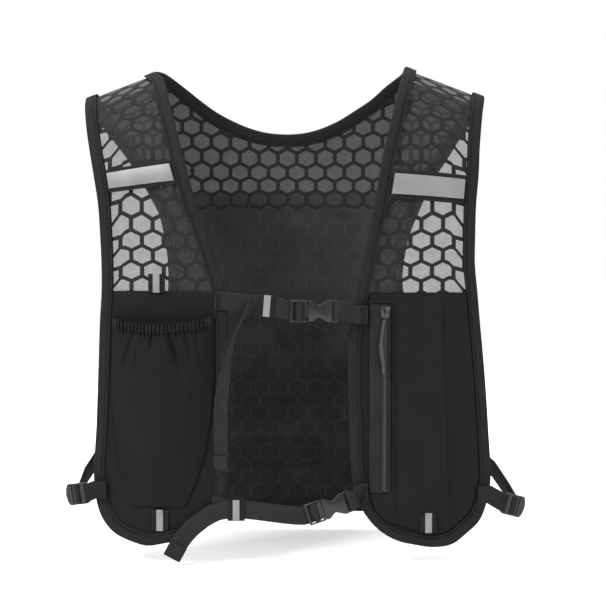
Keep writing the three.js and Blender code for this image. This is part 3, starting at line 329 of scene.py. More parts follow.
def smooth(points: Sequence[Sequence[float]], step: float) -> list[Vector]:
    """A smooth curve through points, with even steps on each span.

    Args:
        points: Corners of the line, in any number of dimensions.
        step: Longest step along it.

    Returns:
        The points of the curve.
    """
    line = [Vector(p) for p in points]
    made: list[Vector] = []
    for i in range(len(line) - 1):
        p1, p2 = line[i], line[i + 1]
        p0 = line[i - 1] if i else p1 * 2 - p2
        p3 = line[i + 2] if i + 2 < len(line) else p2 * 2 - p1
        t0, t1 = 0.0, math.sqrt((p1 - p0).length) + 1e-6
        t2 = t1 + math.sqrt((p2 - p1).length) + 1e-6
        t3 = t2 + math.sqrt((p3 - p2).length) + 1e-6
        count = max(1, math.ceil((p2 - p1).length / step))
        for k in range(count):
            t = t1 + (t2 - t1) * k / count
            a1 = p0 * ((t1 - t) / (t1 - t0)) + p1 * ((t - t0) / (t1 - t0))
            a2 = p1 * ((t2 - t) / (t2 - t1)) + p2 * ((t - t1) / (t2 - t1))
            a3 = p2 * ((t3 - t) / (t3 - t2)) + p3 * ((t - t2) / (t3 - t2))
            b1 = a1 * ((t2 - t) / (t2 - t0)) + a2 * ((t - t0) / (t2 - t0))
            b2 = a2 * ((t3 - t) / (t3 - t1)) + a3 * ((t - t1) / (t3 - t1))
            made.append(b1 * ((t2 - t) / (t2 - t1)) + b2 * ((t - t1) / (t2 - t1)))
    made.append(line[-1])
    return made


def lengths_along(line: Rows) -> list[float]:
    """Length of a line up to each of its points.

    Args:
        line: The points.

    Returns:
        One length for each point, from 0.
    """
    made = [0.0]
    for a, b in zip(line, line[1:]):
        made.append(made[-1] + (Vector(b) - Vector(a)).length)
    return made


def heading(line: Sequence[Vector], i: int) -> Vector:
    """Direction of a line at one of its points."""
    return (line[min(i + 1, len(line) - 1)] - line[max(i - 1, 0)]).normalized()


def resampled(line: Rows, count: int) -> list[Vector]:
    """Equal steps along a line.

    Args:
        line: The points.
        count: Number of steps.

    Returns:
        The points at the steps' ends.
    """
    points = [Vector(p) for p in line]
    lengths = lengths_along(points)
    made, k = [], 0
    for i in range(count + 1):
        target = lengths[-1] * i / count
        while k < len(points) - 2 and lengths[k + 1] < target:
            k += 1
        span = lengths[k + 1] - lengths[k] or 1.0
        made.append(points[k].lerp(points[k + 1], (target - lengths[k]) / span))
    return made


def offset(line: Sequence[Vector], distance: float) -> list[Vector]:
    """A line of x and run moved to its own left.

    Args:
        line: The points.
        distance: How far.

    Returns:
        The moved points.
    """
    made = []
    for i, point in enumerate(line):
        along = heading(line, i)
        made.append(point + Vector((-along.y, along.x)) * distance)
    return made


def quads(rows: int, width: int, closed: bool) -> list[tuple[int, ...]]:
    """Faces between rows of points.

    Args:
        rows: Number of rows.
        width: Points in a row.
        closed: Whether a row's end meets its start.

    Returns:
        The faces, as indices of the points.
    """
    return [
        (r * width + c, r * width + (c + 1) % width, (r + 1) * width + (c + 1) % width, (r + 1) * width + c)
        for r in range(rows - 1) for c in range(width if closed else width - 1)
    ]


def placed(name: str, data: bpy.types.ID) -> bpy.types.Object:
    """A new object in the scene."""
    made = bpy.data.objects.new(name, data)
    bpy.context.scene.collection.objects.link(made)
    return made


def bell(value: float, width: float) -> float:
    """A smooth bump that falls away over a width."""
    return math.exp(-((value / width) ** 2))


def fade(value: float, low: float, high: float) -> float:
    """From 0 at low to 1 at high, smoothly."""
    share = min(max((value - low) / (high - low), 0.0), 1.0)
    return share * share * (3 - 2 * share)


class Value:
    """A shader number that turns Python arithmetic into Math nodes."""

    def __init__(self, graph: "Graph", socket: bpy.types.NodeSocket) -> None:
        """Wraps one output socket of a graph."""
        self.graph = graph
        self.socket = socket

    def __add__(self, other: "Value | float") -> "Value":
        """Sum."""
        return self.graph.math("ADD", self, other)

    def __radd__(self, other: float) -> "Value":
        """Sum, reflected."""
        return self.graph.math("ADD", other, self)

    def __sub__(self, other: "Value | float") -> "Value":
        """Difference."""
        return self.graph.math("SUBTRACT", self, other)

    def __rsub__(self, other: float) -> "Value":
        """Difference, reflected."""
        return self.graph.math("SUBTRACT", other, self)

    def __mul__(self, other: "Value | float") -> "Value":
        """Product."""
        return self.graph.math("MULTIPLY", self, other)

    def __rmul__(self, other: float) -> "Value":
        """Product, reflected."""
        return self.graph.math("MULTIPLY", other, self)

    def __truediv__(self, other: "Value | float") -> "Value":
        """Quotient."""
        return self.graph.math("DIVIDE", self, other)

    def __rtruediv__(self, other: float) -> "Value":
        """Quotient, reflected."""
        return self.graph.math("DIVIDE", other, self)


class Graph:
    """The node tree of a material or of the surroundings."""

    def __init__(self, owner: bpy.types.Material | bpy.types.World) -> None:
        """Opens the owner's tree."""
        owner.use_nodes = True
        self.owner = owner
        self.tree = owner.node_tree

    @classmethod
    def of_material(cls, name: str) -> "Graph":
        """The tree of a new material."""
        return cls(bpy.data.materials.new(name))

    def node(self, kind: str, settings: dict | None = None, inputs: dict | None = None) -> bpy.types.Node:
        """Adds a node.

        Args:
            kind: The node's type.
            settings: Its attributes, set first.
            inputs: Values or links for its sockets, by name or index.

        Returns:
            The node.
        """
        made = self.tree.nodes.new(kind)
        for key, value in (settings or {}).items():
            setattr(made, key, value)
        for key, value in (inputs or {}).items():
            self.feed(made.inputs[key], value)
        return made

    def feed(self, socket: bpy.types.NodeSocket, value: object) -> None:
        """Sets or links one input socket.

        Args:
            socket: The input.
            value: A shader number, an output socket or a constant.
        """
        source = value.socket if isinstance(value, Value) else value
        if isinstance(source, bpy.types.NodeSocket):
            self.tree.links.new(source, socket)
        else:
            socket.default_value = source

    def math(self, operation: str, *values: "Value | float") -> Value:
        """A Math node on numbers."""
        made = self.node("ShaderNodeMath", {"operation": operation}, dict(enumerate(values)))
        return Value(self, made.outputs[0])

    def clamped(self, value: Value, low: "Value | float" = 0.0) -> Value:
        """A number kept between a low limit and 1."""
        return self.math("MINIMUM", self.math("MAXIMUM", value, low), 1.0)

    def repeated(self, value: Value, pitch: float, shift: float) -> Value:
        """Distance from the middle of the nearest repeat."""
        return self.math("ABSOLUTE", self.math("FRACT", value / pitch + shift) - 0.5) * pitch

    def coordinates(self, kind: str) -> tuple[bpy.types.NodeSocket, Value, Value, Value]:
        """Texture coordinates in millimetres.

        Args:
            kind: Which coordinates.

        Returns:
            The whole vector and its three parts.
        """
        source = self.node("ShaderNodeTexCoord").outputs[kind]
        scaled = self.node("ShaderNodeVectorMath", {"operation": "SCALE"}, {0: source, "Scale": 1 / MM})
        split = self.node("ShaderNodeSeparateXYZ", None, {0: scaled.outputs[0]})
        return (scaled.outputs[0], *[Value(self, out) for out in split.outputs])

    def noise(self, vector: bpy.types.NodeSocket, scale: float, detail: float = 2.0) -> Value:
        """A noise from 0 to 1, with its scale in cycles per millimetre."""
        made = self.node("ShaderNodeTexNoise", None, {"Vector": vector, "Scale": scale, "Detail": detail})
        return Value(self, made.outputs["Fac"])

    def wave(self, value: Value, pitch: float) -> Value:
        """A wave from 0 to 1 along a value in millimetres."""
        return self.math("SINE", value * (2 * math.pi / pitch)) * 0.5 + 0.5

    def mixed(self, factor: Value, low: object, high: object) -> bpy.types.NodeSocket:
        """A colour between two colours, each of them a constant or a socket."""
        made = self.node("ShaderNodeMix", {"data_type": "RGBA"}, {"Factor": factor, 6: low, 7: high})
        return made.outputs[2]

    def bump(self, height: Value, distance: float, strength: float = 1.0) -> bpy.types.NodeSocket:
        """A bump normal from a height, with its depth in millimetres."""
        sockets = {"Height": height, "Distance": distance * MM, "Strength": strength}
        return self.node("ShaderNodeBump", None, sockets).outputs[0]

    def fill(self, node: str, **sockets: object) -> None:
        """Feeds sockets, named with underscores, of a node that the tree starts with."""
        for key, value in sockets.items():
            self.feed(self.tree.nodes[node].inputs[key.replace("_", " ")], value)

    def surface(self, **sockets: object) -> bpy.types.Material:
        """Feeds the Principled sockets and gives the material."""
        self.fill("Principled BSDF", **sockets)
        return self.owner


def grey(level: float) -> tuple[float, float, float, float]:
    """A neutral colour in linear light."""
    return (level, level, level, 1.0)


def honeycomb(g: Graph, x: Value, y: Value, pitch: float, row: float, width: float = 3.0) -> Value:
    """Lines of a honeycomb, 1 on a line and 0 inside a cell.

    Args:
        g: The material's graph.
        x: Place across, in millimetres, with a cell's middle at 0.
        y: Place along, in millimetres.
        pitch: Cells' spacing across.
        row: Rows' spacing along.
        width: Width of the lines.

    Returns:
        The lines.
    """
    tip = row * 2 / 3
    reach = []
    for shift in (0.5, 0.0):
        across = g.repeated(x, pitch, shift + 20)
        slanted = (across * (tip / pitch) + g.repeated(y, 2 * row, shift + 40)) * (pitch / tip)
        reach.append(g.math("MAXIMUM", across * 2, slanted))
    return g.clamped((g.math("MINIMUM", *reach) - (pitch - width - 0.4)) * 1.3)


@dataclass(frozen=True)
class Cloth:
    """Fine woven stretch cloth."""

    name: str = "stretch_cloth"
    slot: str = "fabric"
    level: float = 0.0088
    contrast: float = 0.45
    pitch: float = 0.85
    depth: float = 0.12
    hexagons: bool = False

    def material(self) -> bpy.types.Material:
        """Builds the cloth, or the lining with its raised hexagons and a painted shade that darkens it from
        190 mm down.

        Returns:
            The material, on the object's coordinates.
        """
        g = Graph.of_material(self.name)
        vector, x, y, z = g.coordinates("Object")
        weave = g.wave(x + y * 0.6 + z, self.pitch) * g.wave(x + y * 0.6 - z, self.pitch)
        cloud = g.noise(vector, 0.035, 4)
        speck = g.noise(vector, 1.1, 2)
        tone = cloud * 0.5 + speck * 0.3 + weave * 0.2
        height = weave * 0.6 + speck * 0.4
        low, high, depth = 1 - self.contrast, 1 + self.contrast, self.depth
        if self.hexagons:
            ridge = honeycomb(g, x, z, HEX_PITCH, HEX_ROW, 2.2)
            # painted shade: the lining's colour darkens over 90 mm below a height of -190 mm, standing in
            # for the shade inside the back
            painted_shade = g.clamped((z + 190) * (-1 / 90))
            tone = g.math("MAXIMUM", tone * 0.4 + ridge * 0.18 + cloud * 0.45 - painted_shade * 0.34, 0.0)
            height = height * 0.25 + ridge
            low, high, depth = 0.45, 1.9, 0.5
        return g.surface(
            Base_Color=g.mixed(tone, grey(self.level * low), grey(self.level * high)),
            Roughness=speck * 0.12 + 0.78, Normal=g.bump(height, depth, 0.8), Specular_IOR_Level=0.1,
        )


@dataclass(frozen=True)
class Tape:
    """Woven or knitted tape whose pattern follows its own length."""

    name: str
    slot: str
    level: float
    rib: float = 1.5
    rows: float = 2.7
    depth: float = 0.18
    seams: tuple[float, ...] = ()
    stitch: float = 3.2

    def dimples(self, g: Graph, along: Value, across: Value) -> Value:
        """Rows of stitch dimples at the places of the seams, for painted shade in the colour and dents in
        the bump.

        Args:
            g: The material's graph.
            along: Place along the tape.
            across: Place round its section.

        Returns:
            1 in a mark, 0 elsewhere.
        """
        marks: Value | float = 0.0
        for seam in self.seams:
            marks = g.math("MAXIMUM", marks, g.clamped(1.9 - g.math("ABSOLUTE", across - seam) * 1.6))
        return marks * g.clamped(g.wave(along, self.stitch) * 1.6 - 0.3, 0.15)

    def material(self) -> bpy.types.Material:
        """Builds the tape.

        Returns:
            The material, on the piece's UV map.
        """
        g = Graph.of_material(self.name)
        vector, along, across, _ = g.coordinates("UV")
        fuzz = g.noise(vector, 1.4, 3)
        woven = g.wave(along, self.rib) * 0.6 + g.wave(across, self.rows) * 0.25
        tone = woven * 0.45 + fuzz * 0.35 + g.noise(vector, 0.06, 2) * 0.25
        if self.seams:
            dimple_and_painted_shade = self.dimples(g, along, across)
            # painted shade: the colour is darkened in the stitch dimples; the same mask dents the bump
            tone = g.math("MAXIMUM", tone - dimple_and_painted_shade * 0.75, 0.0)
            woven = woven - dimple_and_painted_shade * 2.0
        return g.surface(
            Base_Color=g.mixed(tone, grey(self.level * 0.25), grey(self.level * 2.1)),
            Roughness=fuzz * 0.15 + 0.75, Normal=g.bump(woven + fuzz * 0.3, self.depth, 0.9),
            Specular_IOR_Level=0.12,
        )


@dataclass(frozen=True)
class Window:
    """See-through fine net under a printed honeycomb of strands."""

    name: str
    cover: float
    slot: str = "mesh"
    net: float = 0.035
    strands: float = 0.014
    pitch: float = 19.4
    row: float = 13.6
    width: float = 3.9
    middle: Spot = (0.0, 0.0)

    def material(self) -> bpy.types.Material:
        """Builds the net, with its holes in the alpha.

        Returns:
            The material, on the piece's UV map of x and run.
        """
        g = Graph.of_material(self.name)
        vector, x, y, _ = g.coordinates("UV")
        strand = honeycomb(g, x - self.middle[0], y - self.middle[1], self.pitch, self.row, self.width)
        threads = g.wave(x + y * 0.6, 1.5) * g.wave(x - y * 0.6, 1.5)
        patch = g.noise(vector, 0.12, 3)
        fibre = g.noise(vector, 0.5, 2)
        cover = threads * 0.05 + fibre * 0.05 + patch * 0.14 + (self.cover - 0.11)
        net = g.mixed(patch, grey(self.net * 0.8), grey(self.net * 1.2))
        return g.surface(
            Base_Color=g.mixed(strand, net, grey(self.strands)), Roughness=0.8,
            Alpha=g.clamped(cover, strand),
            Normal=g.bump(strand + fibre * 0.1, 0.35, 0.8), Specular_IOR_Level=0.12,
        )


@dataclass(frozen=True)
class Reflective:
    """Grey reflective tape with a fine woven face."""

    name: str = "reflective_tape"
    slot: str = "reflective"
    level: float = 0.19

    def material(self) -> bpy.types.Material:
        """Builds the tape.

        Returns:
            The material.
        """
        g = Graph.of_material(self.name)
        vector, x, _, z = g.coordinates("Object")
        grain = g.wave(x + z, 0.7) * g.wave(x - z, 0.7)
        smudge = g.noise(vector, 0.08, 3)
        return g.surface(
            Base_Color=g.mixed(smudge, grey(self.level * 0.8), grey(self.level * 1.15)),
            Roughness=smudge * 0.15 + 0.4, Metallic=0.25,
            Normal=g.bump(grain, 0.06, 0.6), Specular_IOR_Level=0.5,
        )


@dataclass(frozen=True)
class Moulded:
    """Moulded black plastic with a fine spark finish."""

    name: str = "moulded_plastic"
    slot: str = "plastic"
    level: float = 0.009
    roughness: float = 0.3
    metallic: float = 0.0

    def material(self) -> bpy.types.Material:
        """Builds the plastic, plated metal or thread.

        Returns:
            The material.
        """
        g = Graph.of_material(self.name)
        vector, _, _, _ = g.coordinates("Object")
        grain = g.noise(vector, 2.2, 2)
        wear = g.noise(vector, 0.25, 3)
        return g.surface(
            Base_Color=g.mixed(wear, grey(self.level * 0.75), grey(self.level * 1.3)),
            Roughness=grain * 0.14 + (self.roughness - 0.07), Metallic=self.metallic,
            Normal=g.bump(grain, 0.05, 0.5), Specular_IOR_Level=0.4,
        )


class Finish(Enum):
    """Every finish of the vest."""

    CLOTH = Cloth()
    POUCH = Cloth("pouch_cloth", level=0.0078)
    LINING = Cloth("honeycomb_lining", level=0.024, hexagons=True)
    BAND = Cloth("band_cloth", level=0.016)
    ELASTIC = Cloth("elastic_cloth", "elastic", level=0.012, pitch=1.3, depth=0.16)
    BINDING = Tape("knit_binding", "binding", 0.0098, rib=1.9, rows=1.7, depth=0.16, seams=(2.8, 21.6))
    WEBBING = Tape("ribbed_webbing", "webbing", 0.0135, rib=2.4, depth=0.3)
    SIDE_WEBBING = Cloth("side_webbing", "webbing", level=0.013, contrast=0.7, pitch=2.0, depth=0.22)
    ZIP_TAPE = Cloth("zip_tape_cloth", "webbing", level=0.017, contrast=0.6, pitch=1.4, depth=0.16)
    TEETH = Moulded("zip_teeth_plastic", "plastic", 0.022, 0.5)
    REFLECTIVE = Reflective()
    PLASTIC = Moulded()
    PULL = Moulded("soft_pull", "plastic", 0.03, 0.5)
    METAL = Moulded("plated_metal", "metal", 0.05, 0.25, 0.8)
    THREAD = Moulded("sewing_thread", "binding", 0.003, 0.9)
    WINDOW = Window("strap_window", 0.40, middle=(138, 150.7))
    YOKE = Window("yoke_window", 0.78, pitch=HEX_PITCH, row=HEX_ROW, middle=(8.2, -123.7))


class Workshop:
    """Makes pieces, dresses them and fixes them to the body."""

    def __init__(self) -> None:
        """Starts with every finish made."""
        self.materials = {finish: finish.value.material() for finish in Finish}

    def dressed(self, piece: bpy.types.Object, finish: Finish, *nodes: str) -> bpy.types.Object:
        """Dresses a piece, fixes it to the body and lets it stand for CAD nodes.

        Args:
            piece: The new piece.
            finish: Its finish.
            nodes: The CAD nodes it stands for.

        Returns:
            The piece.
        """
        piece.data.materials.clear()
        piece.data.materials.append(self.materials[finish])
        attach(piece, "root")
        if nodes:
            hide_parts(*nodes)
        LOG.info("made %s", piece.name)
        return piece

    @staticmethod
    def activate(piece: bpy.types.Object) -> None:
        """Selects one piece alone."""
        bpy.ops.object.select_all(action="DESELECT")
        piece.select_set(True)
        bpy.context.view_layer.objects.active = piece

    def apply(self, piece: bpy.types.Object, kind: str, **settings: object) -> None:
        """Adds a modifier and applies it.

        Args:
            piece: The piece.
            kind: The modifier's type.
            settings: Its attributes.
        """
        self.activate(piece)
        modifier = piece.modifiers.new(kind.lower(), kind)
        for key, value in settings.items():
            setattr(modifier, key, value)
        bpy.ops.object.modifier_apply(modifier=modifier.name)

    def joined(self, parts: Sequence[bpy.types.Object], name: str) -> bpy.types.Object:
        """Several new pieces joined into one.

        Args:
            parts: The pieces.
            name: The name of the whole.

        Returns:
            The whole.
        """
        self.activate(parts[0])
        for part in parts:
            part.select_set(True)
        bpy.ops.object.join()
        parts[0].name = name
        return parts[0]

    def soften(self, piece: bpy.types.Object, degrees: float) -> None:
        """Shades a piece smooth, but for its sharp edges."""
        self.activate(piece)
        bpy.ops.object.shade_smooth_by_angle(angle=math.radians(degrees))

    def piece(
        self, name: str, points: Iterable[Vector], faces: Iterable[Sequence[int]],
        uvs: Sequence[Spot] | None = None,
    ) -> bpy.types.Object:
        """A new piece from points in millimetres.

        Args:
            name: The piece's name.
            points: Its corners.
            faces: Its faces, as indices of the corners.
            uvs: One coordinate in millimetres for each corner.

        Returns:
            The new object, at the origin.
        """
        mesh = bpy.data.meshes.new(name)
        mesh.from_pydata([tuple(p * MM) for p in points], [], [tuple(f) for f in faces])
        if uvs:
            layer = mesh.uv_layers.new(name="UVMap")
            for loop in mesh.loops:
                u, v = uvs[loop.vertex_index]
                layer.data[loop.index].uv = (u * MM, v * MM)
        made = placed(name, mesh)
        bm = bmesh.new()
        bm.from_mesh(mesh)
        bmesh.ops.recalc_face_normals(bm, faces=bm.faces)
        bm.to_mesh(mesh)
        bm.free()
        return made

    def copied(self, node: str, name: str, cuts: int = 0, flat: bool = False) -> bpy.types.Object:
        """A merged copy of a CAD node's mesh.

        Args:
            node: The CAD node.
            name: The copy's name.
            cuts: How often its faces are divided, where it will be shaped.
            flat: Whether its flat faces are made whole first.

        Returns:
            The copy.
        """
        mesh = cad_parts[node].data.copy()
        made = placed(name, mesh)
        bm = bmesh.new()
        bm.from_mesh(mesh)
        bmesh.ops.remove_doubles(bm, verts=bm.verts, dist=0.00001)
        if flat:
            bmesh.ops.dissolve_limit(bm, angle_limit=0.01, verts=bm.verts, edges=bm.edges)
        bm.to_mesh(mesh)
        bm.free()
        if cuts:
            self.apply(made, "SUBSURF", subdivision_type="SIMPLE", levels=cuts, render_levels=cuts)
        return made

    def bevelled(
        self, node: str, name: str, finish: Finish, width: float, flat: bool = True
    ) -> bpy.types.Object:
        """A copy of a CAD node with rounded edges, which stands for it.

        Args:
            node: The CAD node.
            name: The copy's name.
            finish: Its finish.
            width: Width of the rounding.
            flat: Whether its flat faces are made whole first.

        Returns:
            The copy.
        """
        made = self.copied(node, name, flat=flat)
        self.apply(made, "BEVEL", width=width * MM, segments=2, limit_method="ANGLE",
                   angle_limit=math.radians(32), use_clamp_overlap=True)
        self.soften(made, 40)
        return self.dressed(made, finish, node)

    @staticmethod
    def reshape(piece: bpy.types.Object, move: Callable[[Vector], Vector]) -> None:
        """Moves every corner of a piece by a function of its place in millimetres."""
        for vertex in piece.data.vertices:
            vertex.co += move(vertex.co / MM) * MM
        piece.data.update()

    def grid(
        self, name: str, rows: Sequence[Sequence[Vector]], wall: float, uvs: Sequence[Spot] | None = None
    ) -> bpy.types.Object:
        """A sheet over a grid of points, given its wall.

        Args:
            name: The piece's name.
            rows: The points of the sheet's middle.
            wall: Its wall.
            uvs: One coordinate in millimetres for each point.

        Returns:
            The sheet.
        """
        faces = quads(len(rows), len(rows[0]), False)
        made = self.piece(name, [p for row in rows for p in row], faces, uvs)
        self.apply(made, "SOLIDIFY", thickness=wall * MM, offset=0)
        self.soften(made, 60)
        return made

    def loft(
        self, name: str, loops: Sequence[Sequence[Vector]], lengths: Sequence[float],
        spans: Sequence[float], degrees: float,
    ) -> bpy.types.Object:
        """A closed body through equal loops, with a UV map along and around it.

        Args:
            name: The piece's name.
            loops: The loops, each with the same number of points.
            lengths: Each loop's place along the body.
            spans: Each point's place around it.
            degrees: Sharpest angle that is shaded smooth.

        Returns:
            The body.
        """
        size, last = len(loops[0]), len(loops) - 1
        faces = quads(len(loops), size, True)
        faces += [tuple(range(size)), tuple(last * size + k for k in reversed(range(size)))]
        uvs = [(length, span) for length in lengths for span in spans]
        made = self.piece(name, [p for loop in loops for p in loop], faces, uvs)
        self.soften(made, degrees)
        return made


@dataclass(frozen=True)
class Station:
    """One place along a strap: its middle and the direction across it."""

    at: Vector
    across: Vector


@dataclass(frozen=True)
class Hardware:
    """A frame for hardware: u along the strap, v up and w outwards."""

    at: Vector
    tilt: float = 0.0
    yaw: float = 0.0

    @property
    def axes(self) -> tuple[Vector, Vector, Vector]:
        """The three directions."""
        u = Vector((math.cos(self.tilt) * math.cos(self.yaw), math.sin(self.yaw), math.sin(self.tilt)))
        w = u.normalized().cross(Vector((0, 0, 1))).normalized()
        return u.normalized(), w.cross(u.normalized()), w

    def point(self, u: float, v: float, w: float) -> Vector:
        """A point from its distances along the three directions."""
        a, b, c = self.axes
        return self.at + a * u + b * v + c * w

    def stations(self, rows: Sequence[Spot]) -> list[Station]:
        """Strap stations from rows of u and w."""
        return [Station(self.point(u, 0, w), self.axes[1]) for u, w in rows]

    def around(self, bar: float, start: float, end: float, middle: float, radius: float) -> list[Station]:
        """Stations round a bar.

        Args:
            bar: The bar's place along u.
            start: First angle, in degrees.
            end: Last angle.
            middle: The bar's place along w.
            radius: Distance from the bar's middle.

        Returns:
            The stations.
        """
        steps = 10
        angles = [math.radians(start + (end - start) * i / steps) for i in range(steps + 1)]
        return self.stations([(bar + radius * math.cos(a), middle + radius * math.sin(a)) for a in angles])


@dataclass
class Sewing:
    """Rows of stitches, all in one mesh."""

    name: str
    pitch: float = 3.2
    length: float = 2.3
    width: float = 0.5
    height: float = 0.32

    def __post_init__(self) -> None:
        """Starts with no stitch made."""
        self.points: list[Vector] = []
        self.faces: list[tuple[int, ...]] = []

    def stitch(self, at: Vector, along: Vector, normal: Vector, length: float) -> None:
        """One stitch that lies on a surface.

        Args:
            at: Its middle.
            along: Its direction.
            normal: The surface's normal.
            length: Its length.
        """
        side = along.cross(normal).normalized() * (self.width / 2)
        first = len(self.points)
        self.points.extend([at - along * (length / 2), at + along * (length / 2)])
        for share in (-0.3, 0.3):
            middle = at + along * (length * share)
            self.points.extend([middle + side, middle + normal * self.height,
                                middle - side, middle - normal * 0.1])
        a, b = first + 2, first + 6
        for k in range(4):
            n = (k + 1) % 4
            self.faces.extend([
                (first, a + n, a + k), (a + k, a + n, b + n, b + k), (first + 1, b + k, b + n)])

    def row(self, line: Sequence[Vector], normals: Sequence[Vector]) -> None:
        """Even stitches along a line.

        Args:
            line: Its points.
            normals: The surface's normal at each point.
        """
        total = sum((b - a).length for a, b in zip(line, line[1:]))
        count = max(1, round(total / self.pitch))
        points = resampled(line, count * 2)
        facing = resampled(normals, count * 2)
        for i in range(1, count * 2, 2):
            along = (points[i + 1] - points[i - 1]).normalized()
            self.stitch(points[i], along, facing[i].normalized(), min(self.length, total))

    def on_form(self, line: Rows, lift: float, step: float = 6.0) -> None:
        """Stitches along a smooth line on the form.

        Args:
            line: Its corners, by x and run.
            lift: Distance off the form.
            step: Longest step along it.
        """
        path = smooth(line, step)
        sign = 1 if lift >= 0 else -1
        at = [FORM.place(*p, lift) for p in path]
        self.row(at, [FORM.place(*p, lift + sign) - q for p, q in zip(path, at)])

    def on_front(self, corners: Sequence[Spot], lift: float) -> None:
        """Stitches along straight lines on the front.

        Args:
            corners: The lines' ends, by x and height.
            lift: Distance off the form.
        """
        for (x0, z0), (x1, z1) in zip(corners, corners[1:]):
            steps = max(2, math.ceil(math.hypot(x1 - x0, z1 - z0) / 8))
            spots = [(x0 + (x1 - x0) * i / steps, z0 + (z1 - z0) * i / steps) for i in range(steps + 1)]
            at = [FORM.on_front(x, z, lift) for x, z in spots]
            self.row(at, [FORM.on_front(x, z, lift + 1) - q for (x, z), q in zip(spots, at)])

    def build(self, shop: Workshop) -> None:
        """Makes the stitches as one piece."""
        made = shop.piece(self.name, self.points, self.faces)
        shop.soften(made, 80)
        shop.dressed(made, Finish.THREAD)


@dataclass
class Bindings:
    """Folded knitted tape, sewn round every edge."""

    shop: Workshop
    width: float = 9.0
    inside: float = 1.2
    seam: float = 6.6
    seam_lift: float = 1.65
    pitch: float = 3.2
    step: float = 1.6

    def section(self) -> list[Spot]:
        """The tape's section.

        Returns:
            Its corners, as distances inside the edge and lifts.
        """
        outer = [(self.width, 1.45), (8.7, 1.95), (8.1, 2.05), (7.4, 1.84), (self.seam, 1.5), (5.8, 1.84),
                 (5.0, 2.08), (3.0, 2.16), (0.4, 2.1), (-0.7, 1.75), (-1.25, 0.95), (-1.4, 0.0)]
        lower = [(o, -lift) for o, lift in reversed(outer[:-1])]
        inner = [(self.width, -self.inside), (-0.5, -self.inside), (-0.5, self.inside),
                 (self.width, self.inside)]
        return [*outer, *lower, *inner]

    def fold(self, name: str, node: str, edge: Line, guides: tuple[bool, bool] = (False, False)) -> None:
        """One length of binding with its two rows of stitches.

        Args:
            name: The piece's name.
            node: The CAD node it stands for.
            edge: The edge it folds over.
            guides: Whether the line's first and last points only guide its curve.
        """
        skipped = [math.ceil(math.dist(*pair) / self.step) if guide else 0
                   for guide, pair in zip(guides, (edge[:2], edge[-2:]))]
        line = smooth(edge, self.step)
        line = line[skipped[0]:len(line) - skipped[1]]
        section = self.section()
        lines = {o: offset(line, o) for o in {o for o, _ in section}}
        lengths = lengths_along(line)
        loops = []
        for i, length in enumerate(lengths):
            ripple = 0.22 * noise.noise(Vector((length * 0.09, 3.1, 0)))
            pull = 0.35 * math.cos(2 * math.pi * length / self.pitch)
            loops.append([
                FORM.place(*lines[o][i], lift + math.copysign(
                    ripple * fade(abs(lift), 1.3, 1.9) + pull * bell(o - self.seam, 0.9), lift))
                for o, lift in section
            ])
        made = self.shop.loft(name, loops, lengths, lengths_along(section), 60)
        self.shop.dressed(made, Finish.BINDING, node)
        sewing = Sewing(f"{name}_stitches", length=2.1, width=1.3, height=0.5)
        for lift in (self.seam_lift, -self.seam_lift):
            sewing.on_form(offset(line, self.seam), lift)
        sewing.build(self.shop)

    def build(self) -> None:
        """Makes every binding."""
        self.fold("opening_binding", "binding_neck", EDGES.opening(), (True, True))
        for side in Side:
            label, left = side.label, side is Side.LEFT
            self.fold(f"{label}_armhole_binding", f"binding_armhole_{label}", EDGES.armhole(side),
                      (left, not left))
        self.fold("hem_binding", "binding_back_hem", EDGES.hem())


def crumple(p: Vector, scale: float, seed: float) -> float:
    """A slow unevenness of cloth, from -1 to 1."""
    return noise.noise(Vector((p.x * scale + seed, p.y * scale, p.z * scale * 0.7)))


